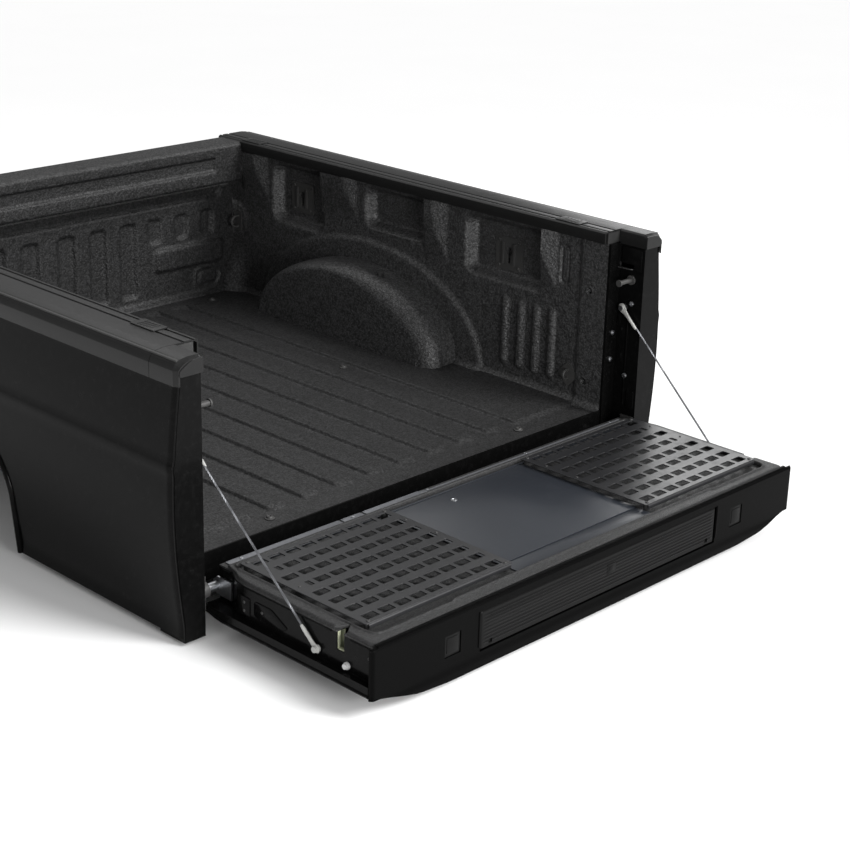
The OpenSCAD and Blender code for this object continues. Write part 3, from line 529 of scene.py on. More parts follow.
def bead_tree():
    """A round or flattened bead along a path."""
    tree, g, given = new_tree("bead", "Geometry", "Radius", "Flatness", "Sides", "Closed", "Finish")
    path = g.node("GeometryNodeMeshToCurve", {}, [given["Geometry"]])
    path = g.node("GeometryNodeSetSplineCyclic", {}, {0: path, "Cyclic": given["Closed"]})
    ring = g.node("GeometryNodeCurvePrimitiveCircle", {},
                  {"Resolution": given["Sides"], "Radius": given["Radius"]})
    squeeze = g.node("ShaderNodeCombineXYZ", {}, [1.0, given["Flatness"], 1.0])
    ring = g.node("GeometryNodeTransform", {}, {"Geometry": ring, "Scale": squeeze})
    tube = g.node("GeometryNodeCurveToMesh", {}, {"Curve": path, "Profile Curve": ring, "Fill Caps": True})
    end_tree(g, g.node("GeometryNodeRealizeInstances", {}, [tube]), given["Finish"])
    return tree


def strand_tree():
    """A wire rope along a path: strands laid in a helix round the path."""
    tree, g, given = new_tree("wire_rope", "Geometry", "Rings", "Strands", "Radius", "Wire", "Lay", "Finish")
    path = g.node("GeometryNodeMeshToCurve", {}, [given["Geometry"]])
    path = g.node("GeometryNodeResampleCurve", {}, {"Curve": path, "Count": given["Rings"]})
    copies = g.node("GeometryNodeDuplicateElements", {"domain": "SPLINE"},
                    {"Geometry": path, "Amount": given["Strands"]})
    number = copies.also("Duplicate Index")
    length = g.node("GeometryNodeSplineParameter", out="Length")
    step = g.node("ShaderNodeMath", {"operation": "DIVIDE"}, [math.tau, given["Strands"]])
    pitch = g.node("ShaderNodeMath", {"operation": "DIVIDE"}, [math.tau, given["Lay"]])
    angle = length * pitch + number * step
    across = g.node("ShaderNodeCombineXYZ", {}, [1.0, 0.0, 0.0])
    along = g.node("GeometryNodeInputTangent")
    up = g.node("ShaderNodeVectorMath", {"operation": "CROSS_PRODUCT"}, [along, across])
    parts = []
    for axis, wave in ((across, "COSINE"), (up, "SINE")):
        reach = angle.sum(wave, angle) * given["Radius"]
        parts.append(g.node("ShaderNodeVectorMath", {"operation": "SCALE"}, {0: axis, "Scale": reach}))
    offset = g.node("ShaderNodeVectorMath", {"operation": "ADD"}, parts)
    wound = g.node("GeometryNodeSetPosition", {}, {"Geometry": copies, "Offset": offset})
    ring = g.node("GeometryNodeCurvePrimitiveCircle", {}, {"Resolution": 6, "Radius": given["Wire"]})
    tube = g.node("GeometryNodeCurveToMesh", {}, {"Curve": wound, "Profile Curve": ring, "Fill Caps": True})
    end_tree(g, g.node("GeometryNodeRealizeInstances", {}, [tube]), given["Finish"])
    return tree


TREES = {"scatter": scatter_tree(), "bead": bead_tree(), "strand": strand_tree()}


def grown(tree, base, **values):
    """The plain mesh that a tree makes of a base mesh and its named inputs."""
    holder = bpy.data.objects.new("holder", base)
    bpy.context.scene.collection.objects.link(holder)
    step = holder.modifiers.new("grow", "NODES")
    step.node_group = TREES[tree]
    for item in TREES[tree].interface.items_tree:
        if item.in_out == "INPUT" and item.name in values:
            step[item.identifier] = values[item.name]
    ready = bpy.context.evaluated_depsgraph_get()
    mesh = bpy.data.meshes.new_from_object(holder.evaluated_get(ready), depsgraph=ready)
    bpy.data.objects.remove(holder)
    return mesh


def scattered(template, spots, turns, slot, size=1.0, look=None):
    """A template, made round its own origin, set down at spots in the bed frame."""
    shape = bpy.data.meshes.new("template")
    shape.from_pydata([tuple(p) for p in template[0]], [], [list(map(int, f)) for f in template[1]])
    model = bpy.data.objects.new("template", clean(shape))
    bpy.context.scene.collection.objects.link(model)
    base = bpy.data.meshes.new("spots")
    base.from_pydata([tuple(Vector(p) + SHIFT) for p in spots], [], [])
    turn = base.attributes.new("turn", "FLOAT_VECTOR", "POINT")
    turn.data.foreach_set("vector", np.array(turns, np.float32).ravel())
    mesh = grown("scatter", base, Template=model, Finish=look or FINISHES[slot], Size=size)
    bpy.data.objects.remove(model)
    return clean(mesh)


def bead(path, radius, slot, closed=False, flat=1.0, sides=10, look=None):
    """A bead of a radius along a path in the bed frame."""
    n = len(path)
    base = bpy.data.meshes.new("path")
    links = [(i, i + 1) for i in range(n - 1)] + ([(n - 1, 0)] if closed else [])
    base.from_pydata([tuple(Vector(p) + SHIFT) for p in path], links, [])
    mesh = grown("bead", base, Radius=radius, Flatness=flat, Sides=sides, Closed=closed,
                 Finish=look or FINISHES[slot])
    return clean(mesh)


def merged(*meshes):
    """Several meshes of one body as one."""
    work = bmesh.new()
    for mesh in meshes:
        work.from_mesh(mesh)
    out = bpy.data.meshes.new("merged")
    work.to_mesh(out)
    work.free()
    for look in meshes[0].materials:
        out.materials.append(look)
    out.shade_smooth()
    out.set_sharp_from_angle(angle=math.radians(38))
    return out


FLAT = lambda u, v, h: (u, v, h)
DOWN_Z = (0, 0, 0)
TO_INSIDE = {-1: (0, math.pi / 2, 0), 1: (0, -math.pi / 2, 0)}
TO_REAR = (math.pi / 2, 0, 0)


# ---- Floor ----

CHANNELS = 9
CHANNEL_PITCH, CHANNEL_W, CHANNEL_DEPTH = 0.119, 0.060, 0.008
CHANNEL_ENDS = (0.100, LENGTH - 0.056)


def channel_at(i):
    return (i - (CHANNELS - 1) / 2) * CHANNEL_PITCH


def floor_liner():
    """Raised bands with sloped rear ends, between channels that run out to the rear edge."""
    edge, slope = 0.010, 0.030
    bands = [(channel_at(i) + CHANNEL_W / 2, channel_at(i + 1) - CHANNEL_W / 2) for i in range(CHANNELS - 1)]
    first, last = channel_at(0) - CHANNEL_W / 2, channel_at(CHANNELS - 1) + CHANNEL_W / 2
    bands += [(-HALF - 0.1, first), (last, HALF + 0.1)]
    focus = [(side, edge, edge / 4) for band in bands for side in band]
    xs = lines(-HALF, HALF, 0.03, *focus, (-ARCH_X - 0.035, 0.04, 0.005), (ARCH_X + 0.035, 0.04, 0.005))
    ends = [(CHANNEL_ENDS[0], slope, 0.004), (CHANNEL_ENDS[1], slope, 0.006)]
    feet = [(ARCH_LO.y + 0.035, 0.04, 0.005), (ARCH_HI.y - 0.035, 0.04, 0.005)]
    ys = lines(0, LENGTH, 0.02, (0, 0.006, 0.0015), *ends, *feet)

    def top(x, y):
        height = ease(y, CHANNEL_ENDS[1] - slope, CHANNEL_ENDS[1])
        for x0, x1 in bands:
            band = (x0 - edge / 2, x1 + edge / 2, CHANNEL_ENDS[0] - slope / 2, LENGTH * 2)
            around = away(x, y, band, 0.022)
            across = 1 - ease(around, -edge, 0)
            along = ease(y, CHANNEL_ENDS[0] - slope / 2, CHANNEL_ENDS[0] + slope / 2)
            height = np.maximum(height, across * along)
        sway = 0.0006 * np.sin(x * 21 + 1.3 * np.sin(y * 5)) * np.sin(y * 9 + x * 2)
        lip = 0.002 * (1 - ease(y, 0, 0.006)) ** 2
        return x, y, sway - (CHANNEL_DEPTH + 0.001) * (1 - height) - lip

    def under(x, y):
        return x, y, np.full_like(x, -FLOOR_T)

    def keep(x, y):
        return away(np.abs(x), y, (ARCH_X, HALF * 2, ARCH_LO.y, ARCH_HI.y), 0.070) > -0.022
    make("floor_liner_skin", slab(xs, ys, top, under, keep), "liner_floor", "bed", "floor_liner", angle=60)


def floor_bolt_heads():
    profile = [(0, -0.036), (0.006, -0.036), (0.006, -0.0005), (0.013, 0), (0.0134, 0.0012),
               (0.0125, 0.002), (0.0095, 0.0026), (0.0085, 0.0062), (0.0078, 0.0068), (0.005, 0.0068),
               (0.0045, 0.0045), (0, 0.0045)]
    lo, hi = bed_box("floor_bolts")
    x_out, y_front, y_rear = hi.x - 0.013, hi.y - 0.013, lo.y + 0.013
    x_in = channel_at(CHANNELS - 1)
    spots = [(s * x_in, y_rear, -CHANNEL_DEPTH) for s in (-1, 1)]
    spots += [(s * x_in, ARCH_Y - 0.202, -CHANNEL_DEPTH) for s in (-1, 1)]
    spots += [(s * x_out, y_front, 0) for s in (-1, 1)]
    mesh = scattered(lathe(profile, FLAT, 20), spots, [DOWN_Z] * 6, "dark_steel")
    settle("floor_bolt_heads", mesh, "dark_steel", "bed", "floor_bolts")


# ---- Front wall and header ----

def front_wall():
    long_slots, short_slots = (0.0705, 0.1965, 0.3195), (0.4305, 0.545, 0.660)
    xs = lines(-HALF, HALF, 0.006)
    zs = lines(-FLOOR_T - 0.003, HEAD_LO.z, 0.0055)

    def face(x, z):
        a = np.abs(x)
        h = np.zeros_like(x)
        for c in long_slots:
            h -= 0.013 * pad(a, z, (c - 0.038, c + 0.038, 0.036, 0.306), 0.022, 0.013)
        for c in short_slots:
            h -= 0.011 * pad(a, z, (c - 0.031, c + 0.031, 0.211, 0.306), 0.020, 0.012)
        h += 0.013 * pad(a, z, (0.422, 0.730, 0.106, 0.200), 0.022, 0.016)
        port = away(a, z, (0.594, 0.720, 0.016, 0.104), 0.040)
        h += 0.005 * np.exp(-((port + 0.006) / 0.0045) ** 2)
        h += 0.006 * (1 - ease(port, -0.028, -0.020)) - 0.003 * (1 - ease(port, -0.020, -0.010))
        ledge = 0.337 + 0.030 * ease(a, 0.703, 0.738)
        h -= 0.011 * ease(z, ledge, ledge + 0.009)
        h -= 0.030 * ease(z, 0.374, 0.386)
        h += 0.020 * (1 - ease(z, -0.002, 0.030)) ** 2
        return x, LENGTH - h, z

    def back(x, z):
        return x, np.full_like(x, WALL_HI.y + 0.024), z
    # The front wall takes the darker copy of the liner: painted shade.
    make("front_wall_skin", slab(xs, zs, face, back), "liner_wall", "bed", "front_wall_liner", angle=60,
         look=SHADED_FRONT_FINISH)


def front_header():
    y0, y1, z0, z1 = HEAD_LO.y, HEAD_HI.y, HEAD_LO.z, HEAD_HI.z
    slot_x = 0.634

    def ring(x):
        depth = 0.010 * float(ease(np.array(abs(x)), slot_x, slot_x - 0.010))
        outline = [(y1, z0), (y0 + 0.006, z0), (y0 - 0.001, z0 + 0.008), (y0, 0.452), (y0 + depth, 0.460),
                   (y0 + depth, 0.4985), (y0, 0.503), (y0, z1 - 0.010), (y0 + 0.010, z1), (y1, z1)]
        return [(x, y, z) for y, z in rounded(outline, 0.005, 3)]
    xs = [-HEAD_HI.x] + [s * (slot_x + d) for s, ds in
                         ((-1, (0.004, 0, -0.003, -0.007, -0.011)), (1, (-0.011, -0.007, -0.003, 0, 0.004)))
                         for d in ds] + [HEAD_HI.x]
    # The header takes the darker copy of the liner: painted shade.
    make("front_header_skin", loft(xs, ring), "liner_wall", "bed", "front_header", angle=45,
         look=SHADED_FRONT_FINISH)


# ---- Side walls ----

# Pockets: rear y, front y, bottom z. Pillars: rear y, front y, foot z.
POCKETS = ((0.244, 0.580, 0.298), (0.743, 1.034, 0.352), (1.225, 1.492, 0.284))
PILLARS = ((0.195, 0.262, 0.313), (0.651, 0.752, 0.313), (1.066, 1.236, 0.372), (1.509, 1.640, 0.350))
POCKET_TOP = WALL_HI.z - 0.012
POCKET_DEPTH = 0.040
RIB_ROWS = (0.205, 0.269, 0.331, 0.395)
TIE_SPOTS = ((0.423, 0.384), (1.374, 0.382))


def wall_relief(y, z):
    """How far the side wall stands into the bed."""
    h = 0.009 * (1 - ease(y, 0.094, 0.112))
    around = from_ellipse(y, z, ARCH_HALF + 0.105, ARCH_H + 0.075)
    h += 0.012 * (1 - ease(around, -0.018, 0))
    for y0, y1, z0 in POCKETS:
        h -= (POCKET_DEPTH + h) * (1 - ease(away(y, z, (y0, y1, z0, POCKET_TOP), 0.045), -0.026, 0))
    for y0, y1, foot in PILLARS:
        proud = 0.030 * ease(z, foot - 0.01, foot + 0.150) ** 0.8
        rise = np.clip((y - y0) * 0.62, 0, None)
        fall = np.clip((y1 - y) * 1.6, 0, None)
        lift = np.minimum(np.minimum(rise, fall), proud)
        h = np.where(lift > 0, np.maximum(h, lift), h)
    for c in RIB_ROWS:
        around = away(y, z, (c - 0.017, c + 0.017, 0.042, 0.270), 0.016)
        h += 0.012 * (1 - ease(around, -0.012, 0)) * ease(z, 0.272, 0.235) ** 0.5
    h -= 0.007 * pad(y, z, (0.148, 0.190, 0.346, 0.472), 0.018, 0.006)
    h += 0.003 * pad(y, z, (0.156, 0.182, 0.356, 0.462), 0.012, 0.005)
    for ty, tz in TIE_SPOTS:
        h -= 0.010 * pad(y, z, (ty - 0.026, ty + 0.026, tz - 0.032, tz + 0.034), 0.012, 0.010)
    for hy, hz in ((0.066, 0.072), (0.063, 0.355)):
        h -= 0.014 * (1 - ease(np.hypot(y - hy, z - hz), 0.0085, 0.0105))
        h += 0.0016 * (1 - ease(np.hypot(y - hy, z - hz), 0.012, 0.016))
    for hy, hz in ((0.070, 0.207), (0.089, 0.500)):
        h -= 0.006 * (1 - ease(np.hypot(y - hy, z - hz), 0.004, 0.006))
    corner = ease(y, 1.612, LENGTH - 0.004)
    foot = 0.046 * (1 - ease(z, 0.010, 0.190))
    waist = 0.022 * ease(z, 0.190, 0.230) * ease(z, 0.330, 0.270)
    h += corner * (foot - waist)
    h += 0.016 * (1 - ease(z, -0.004, 0.022)) ** 2
    return h


def side_wall(name, side):
    ys = lines(0, WALL_HI.y, 0.0062, (0.066, 0.018, 0.002), (0.169, 0.026, 0.003))
    zs = lines(WALL_LO.z, WALL_HI.z, 0.0062, (0.072, 0.016, 0.002), (0.355, 0.016, 0.002))

    def face(y, z):
        return HALF - wall_relief(y, z), y, z

    def back(y, z):
        sunk = np.zeros_like(y)
        for y0, y1, z0 in POCKETS:
            box = (y0 - 0.012, y1 + 0.012, z0 - 0.012, POCKET_TOP + 0.006)
            sunk = np.maximum(sunk, 1 - ease(away(y, z, box, 0.045), -0.004, 0.014))
        return HALF + 0.009 + (POCKET_DEPTH + 0.008) * sunk, y, z

    def keep(y, z):
        return from_ellipse(y, z, ARCH_HALF - 0.014, ARCH_H - 0.014) > 0
    part = on_side(side, slab(ys, zs, face, back, keep))
    make(f"side_wall_{name}", part, "liner_wall", "bed", f"side_liner_{name}", angle=60)


def wheel_arch(name, side):
    """A barrel over the wheel, rounded into its inboard face, with a pressed step near its rear foot."""
    edge = 0.060
    turns = np.linspace(0, math.pi, 110)
    bands = [("barrel", x) for x in np.linspace(HALF + 0.004, ARCH_X + edge, 14)]
    bands += [("edge", a) for a in np.linspace(0.14, math.pi / 2, 9)]
    bands += [("cheek", t) for t in (0.25, 0.5, 0.75, 1.0)]

    def ring(band, shrink):
        kind, s = band
        t = turns
        y = ARCH_Y + (ARCH_HALF - shrink) * np.cos(t)
        z = (ARCH_H - shrink) * np.sin(t)
        norm = np.stack([np.cos(t) / ARCH_HALF, np.sin(t) / ARCH_H])
        norm = norm / np.linalg.norm(norm, axis=0)
        rear = ease(np.cos(t), 0.2, -0.8)
        r = edge * (0.45 + 0.55 * rear)
        x = np.full_like(t, s if kind == "barrel" else 0)
        if kind == "barrel":
            drop = -0.007 * (1 - ease(z, 0.046, 0.054)) * rear * ease(x, 0.690, 0.702)
            top = np.exp(-(((y - ARCH_Y + 0.115) / 0.050) ** 2 + ((x - 0.722) / 0.028) ** 2))
            y, z = y + norm[0] * (drop + 0.003 * top), z + norm[1] * (drop - 0.005 * top)
        else:
            a = s if kind == "edge" else math.pi / 2
            x = np.full_like(t, ARCH_X + edge - edge * math.sin(a))
            y, z = y - norm[0] * r * (1 - math.cos(a)), z - norm[1] * r * (1 - math.cos(a))
            if kind == "cheek":
                z = z * (1 - s) - FLOOR_T * s
                x = x - 0.006 * (1 - ease(z, 0, 0.03)) * (1 - s)
        x = x + (0 if kind == "barrel" else shrink)
        return np.stack([x, y, np.maximum(z, -FLOOR_T)], -1)
    outer = np.array([ring(b, 0.0) for b in bands])
    inner = np.array([ring(b, 0.007) for b in bands])
    n, k = outer.shape[:2]
    at = np.arange(n * k).reshape(n, k)
    quads = np.stack([at[:-1, :-1], at[1:, :-1], at[1:, 1:], at[:-1, 1:]], -1).reshape(-1, 4)
    loop = np.concatenate([at[:, 0], at[-1, 1:], at[::-1, -1][1:], at[0, ::-1][1:-1]])
    after = np.roll(loop, -1)
    rims = np.stack([loop, after, after + n * k, loop + n * k], -1)
    faces = np.concatenate([quads, quads[:, ::-1] + n * k, rims]).tolist()
    part = on_side(side, (np.concatenate([outer.reshape(-1, 3), inner.reshape(-1, 3)]), faces))
    make(f"wheel_arch_{name}", part, "liner_wall", "bed", f"wheel_arch_liner_{name}", angle=50)


# ---- Rails, posts and outer panels ----

def rail_profile(x0, x1, foot, grooves):
    """Cross-section of a rail cap: a grooved top with a skirt at each edge, its outer edge well rounded."""
    z1, deck = CAP_HI.z, 0.004
    top = [(x0, foot), (x0, z1 - 0.005), (x0 + 0.006, z1)]
    for groove in grooves:
        c = x0 + groove
        top += [(c, z1), (c + 0.0012, z1 - 0.0034), (c + 0.0065, z1 - 0.0034), (c + 0.008, z1)]
    top += [(x1 - 0.042, z1), (x1 - 0.020, z1 - 0.003), (x1 - 0.006, z1 - 0.012), (x1, z1 - 0.026),
            (x1, CAP_LO.z), (x1 - 0.005, CAP_LO.z), (x1 - 0.005, z1 - 0.026), (x1 - 0.020, z1 - 0.009),
            (x1 - 0.042, z1 - deck - 0.001)]
    return top + [(x0 + 0.012, z1 - deck - 0.001), (x0 + 0.004, z1 - 0.009), (x0 + 0.004, foot)]


def rail_cap(name, side):
    inner, outer = CAP_LO.x, CAP_HI.x
    front, rear = CAP_HI.y, CAP_LO.y

    def long_ring(y):
        profile = rail_profile(inner, outer, CAP_LO.z + 0.028, (0.012, 0.040))
        return [(x, y, z) for x, z in rounded(profile, 0.0012, 2)]

    def rear_ring(y):
        tuck = 0.007 * (1 - float(ease(np.array(y), rear, rear + 0.014)))
        profile = rail_profile(HALF + 0.036, outer, WALL_HI.z - 0.004, ())
        return [(x - tuck * (x > 0.86), y, z - tuck * (z > 0.53)) for x, z in rounded(profile, 0.0012, 2)]
    joints = [0.0, 0.002, 0.4, 0.8, 1.2, 1.6, front - 0.004, front]
    back = rounded([(HALF + 0.037, WALL_HI.z - 0.004), (outer - 0.010, WALL_HI.z - 0.004),
                    (outer - 0.008, CAP_HI.z - 0.028), (outer - 0.044, CAP_HI.z - 0.006),
                    (HALF + 0.037, CAP_HI.z - 0.006)], (0.001, 0.008, 0.016, 0.016, 0.001))
    cover = plate(back, -0.006, -0.001, 0.0014, lambda u, v, h: (u, rear - h, v))
    cover[0][:, 1] = 2 * rear + 0.002 - cover[0][:, 1] - 0.0015 + 0.0035
    rear_steps = [rear, rear + 0.004, rear + 0.012, -0.030, -0.0015]
    part = joined(loft(joints, long_ring), loft(rear_steps, rear_ring),
                  cover)
    make(f"rail_cap_skin_{name}", on_side(side, part), "rail_plastic", "bed", f"rail_cap_{name}", angle=24)


def rail_details():
    """Lids over the stake pockets, each with five raised ribs across it."""
    lo, hi = bed_box("stake_pocket_covers")
    parts = []
    for y in (lo.y + 0.046, hi.y - 0.046):
        x = HALF - 0.002
        lid = rect(x - 0.023, x + 0.023, y - 0.046, y + 0.046, 0.006)
        parts.append(plate(lid, lo.z, hi.z, 0.0015, FLAT))
        for row in range(5):
            c = y - 0.024 + row * 0.012
            line = rect(x - 0.016, x + 0.016, c - 0.0018, c + 0.0018, 0.0015, 3)
            parts.append(plate(line, hi.z - 0.001, hi.z + 0.0012, 0.0008, FLAT))
    make("stake_pocket_lids", both(joined(*parts)), "rail_plastic", "bed", "stake_pocket_covers")


def post_details(name, side):
    """What shows on a post's face in the gate opening: edge bead, access plug, bracket and embosses."""
    x0, x1 = POST_LO.x, HALF + 0.040
    wall = x1 - 0.0005
    edge = [(x0 + 0.003, -0.0035, z) for z in np.linspace(0.005, 0.350, 8)]
    edge += [(x0 + 0.003 + 0.020 * t, -0.0035, 0.350 + 0.110 * t) for t in (0.15, 0.35, 0.6, 1.0)]
    seam = bead([(side * x, y, z) for x, y, z in edge], 0.0026, "gloss_black", sides=8)
    fold = [(wall, -0.048, z) for z in np.linspace(0.02, 0.300, 7)]
    fold = bead([(side * x, y, z) for x, y, z in fold], 0.0028, "gloss_black", sides=8)
    side_of = lambda u, v, h: (side * (wall - h), u, v)
    emboss = [plate(rounded([(-0.022, 0.262), (-0.008, 0.262), (-0.012, 0.300), (-0.020, 0.304)], 0.005),
                    0, 0.003, 0.0015, side_of),
              plate(rect(-0.086, -0.012, 0.432, 0.500, 0.008), 0, 0.0025, 0.0012, side_of),
              plate(rect(-0.088, -0.060, 0.010, 0.070, 0.006), 0, 0.003, 0.0015, side_of)]
    emboss = clean(as_mesh("emboss", joined(*emboss)))
    settle(f"post_seams_{name}", merged(seam, fold, emboss), "gloss_black", "bed",
           look=FINISHES["gloss_black"])
    across = lambda u, v, h: (side * u, v, h)
    shelf = rounded([(wall - 0.012, -0.004), (wall, -0.004), (wall, -0.060), (wall - 0.010, -0.046)], 0.006)
    shelf = plate(shelf, 0.436, 0.4385, 0.001, across)
    lip = plate(rect(-0.060, -0.004, 0.436, 0.452, 0.004), 0.0, 0.0025, 0.001, side_of)
    make(f"post_bracket_{name}", joined(shelf, lip), "liner_wall", "bed")


def outer_panel(name, side):
    """Bedside skin: a soft barrel with a crease, open over the wheel and rolled at its edges."""
    x0, reach = OUTER_LO.x + 0.004, 0.024
    top, foot = CAP_LO.z + 0.030, OUTER_LO.z
    rear, front = OUTER_LO.y, OUTER_HI.y
    ys, zs = lines(rear, front, 0.011), lines(foot, top, 0.011)

    def bulge(z):
        t = np.clip((CAP_LO.z - z) / (CAP_LO.z - foot) * 1.05, 0, 1)
        crease = 0.0045 * np.exp(-((z - 0.285) / 0.012) ** 2)
        return x0 + reach * np.sin(math.pi * t) * (z < CAP_LO.z) + crease

    def snap(y, z):
        a, b = ARCH_HALF - 0.006, ARCH_H - 0.006
        f = np.hypot((y - ARCH_Y) / a, z / b)
        near = (np.abs(from_ellipse(y, z, a, b)) < 0.0085) & (z > 0)
        y = np.where(near, ARCH_Y + (y - ARCH_Y) / f, y)
        z = np.where(near, z / f, z)
        leg = (z <= 0) & (np.abs(np.abs(y - ARCH_Y) - a) < 0.006)
        return np.where(leg, ARCH_Y + np.sign(y - ARCH_Y) * a, y), z

    def face(y, z):
        y, z = snap(y, z)
        hem = 0.006 * (1 - ease(y, rear, rear + 0.008)) + 0.006 * ease(y, front - 0.008, front)
        return bulge(z) - hem, y, z

    def back(y, z):
        y, z = snap(y, z)
        return bulge(z) - 0.0075, y, z

    def keep(y, z):
        below = (z < 0) & (np.abs(y - ARCH_Y) < ARCH_HALF - 0.006)
        return (from_ellipse(y, z, ARCH_HALF - 0.006, ARCH_H - 0.006) > 0) & ~below
    skin = clean(as_mesh("skin", on_side(side, slab(ys, zs, face, back, keep))), 50)
    arch = [(ARCH_Y + (ARCH_HALF - 0.004) * math.cos(a), (ARCH_H - 0.004) * math.sin(a))
            for a in np.linspace(0, math.pi, 60)]
    arch = [(arch[0][0], foot)] + arch + [(arch[-1][0], foot)]
    path = [(side * (float(bulge(np.array(z))) - 0.001), y, z) for y, z in arch]
    flare = bead(path, 0.0085, "gloss_black", sides=10)
    ends = [loft([(z) for z in lines(foot, top - 0.002, 0.02)],
                 lambda z, y=y: [(side * (x0 - 0.004 + d), y + e, z) for d, e in
                                 ((0, 0), (float(bulge(np.array(z))) - x0 + 0.0005, 0),
                                  (float(bulge(np.array(z))) - x0 + 0.0005, 0.004), (0, 0.004))])
            for y in (rear, front - 0.004)]
    ends = clean(as_mesh("ends", joined(*ends)))
    settle(f"outer_skin_{name}", merged(skin, flare, ends), "gloss_black", "bed", f"outer_panel_{name}",
           look=FINISHES["gloss_black"])


# ---- Tie-downs and small hardware on the bed ----

def screw(head_r, head_h, shank_r, shank_l, hole_r):
    """A button-headed screw with a round drive, its head up, its seat at zero."""
    profile = [(0, -shank_l), (shank_r, -shank_l), (shank_r, 0), (head_r, 0), (head_r, head_h * 0.35),
               (head_r * 0.86, head_h * 0.82), (head_r * 0.62, head_h), (hole_r, head_h),
               (hole_r * 0.9, head_h * 0.35), (0, head_h * 0.35)]
    return lathe(profile, FLAT, 16)


def wall_screws():
    seat = HALF + POCKET_DEPTH - 0.004
    spots, turns = [], []
    for s in (-1, 1):
        for y, z in TIE_SPOTS:
            for i in (-1, 1):
                for j in (-1, 1):
                    spots.append((s * seat, y + i * 0.040, z + j * 0.040))
                    turns.append(TO_INSIDE[s])
    mesh = scattered(screw(0.0055, 0.004, 0.003, 0.011, 0.0028), spots, turns, "dark_steel")
    settle("tie_plate_screw_heads", mesh, "dark_steel", "bed", "tie_plate_screws")


def post_bolt_heads():
    spots, turns = [], []
    for s in (-1, 1):
        for y, z in ((-0.058, 0.334), (-0.049, 0.111)):
            spots.append((s * (HALF + 0.0395), y, z))
            turns.append(TO_INSIDE[s])
        for x, z in ((0.794, 0.239), (0.790, 0.158)):
            spots.append((s * x, -0.0085, z))
            turns.append(TO_REAR)
    mesh = scattered(screw(0.0082, 0.0055, 0.004, 0.014, 0.003), spots, turns, "zinc")
    settle("post_bolt_heads", mesh, "zinc", "bed", "post_bolts")


# ---- Tailgate ----

NECK_Y, WIDE_Y = -0.128, -0.205
NECK_X = POST_LO.x - 0.009


def gate_edge_x(y):
    """Half-width of the tailgate at a distance from the bed."""
    return float(np.interp(-y, [0, -NECK_Y, -WIDE_Y - 0.038, -WIDE_Y], [NECK_X, NECK_X, GATE_HI.x - 0.008,
                                                                         GATE_HI.x]))


def tailgate_rim():
    """The raised border round the tailgate's recess, with a lip along its inner edge."""
    rear, front = RIM_LO.y, RIM_HI.y
    in_x, in_rear, in_front, r = 0.748, -0.600, -0.122, 0.026
    latch = (-0.547, -0.523)
    rings = []

    def station(inner, outer):
        inner, outer = np.array(inner), np.array(outer)
        reach = np.linalg.norm(outer - inner)
        way = (outer - inner) / reach
        edge = min(0.006, reach * 0.3)
        steps = [(0, 0.0), (0, 0.0085), (0.002, 0.0110), (0.0045, 0.0118), (0.007, 0.0108),
                 (0.0095, 0.0086), (0.0125, 0.0078), (reach * 0.6, 0.0080), (reach - edge, 0.0080),
                 (reach - edge * 0.45, 0.0070), (reach - edge * 0.12, 0.0048), (reach, 0.0)]
        steps = [(min(d, reach), h) for d, h in steps]
        rings.append([(*(inner + way * d), h) for d, h in steps])

    def jog(x):
        return in_rear - 0.007 * float(ease(np.array(abs(x)), 0.488, 0.508))
    half_side = [(y, gate_edge_x(y) - 0.002) for y in lines(in_rear + r, in_front - r, 0.02,
                                                           (-0.166, 0.03, 0.006))]
    for x in lines(-in_x + r, in_x - r, 0.03, (-0.498, 0.014, 0.004), (0.498, 0.014, 0.004)):
        station((x, jog(x)), (x, rear))
    rear_row, front_row = jog(1) + r, in_front - r
    rear_corner = (rear_row, GATE_HI.x - 0.012, rear + 0.010, 0.010)
    front_corner = (front_row, NECK_X - 0.006, front - 0.004, 0.004)

    def corner(s, first, inner_y, outer_x, outer_y, outer_r):
        for a in np.linspace(first, first + 90, 9):
            c, d = math.cos(math.radians(a)), math.sin(math.radians(a))
            inner = (s * (in_x - r) + r * c, inner_y + r * d)
            station(inner, (s * outer_x + outer_r * c, outer_y + outer_r * d))

    def flank(s, rows):
        for y, wide in rows:
            if y > rear_row:
                at_latch = latch[0] < y < latch[1]
                station((s * in_x, y), (s * (0.7535 if at_latch else wide), y))
    corner(1, -90, *rear_corner)
    flank(1, half_side)
    corner(1, 0, *front_corner)
    for x in lines(-in_x + r, in_x - r, 0.06)[::-1]:
        station((x, in_front), (x, front))
    corner(-1, 90, *front_corner)
    flank(-1, half_side[::-1])
    corner(-1, 180, *rear_corner)
    make("tailgate_border", hoop(rings), "liner_wall", "tailgate", "tailgate_rim", look=RIM_FINISH, angle=50)


def gate_foot(x):
    """Lower edge of the tailgate's rear face across its width."""
    a = np.abs(x)
    return np.interp(a, [0, 0.56, 0.66, 0.806], [-0.158, -0.157, -0.150, -0.114])


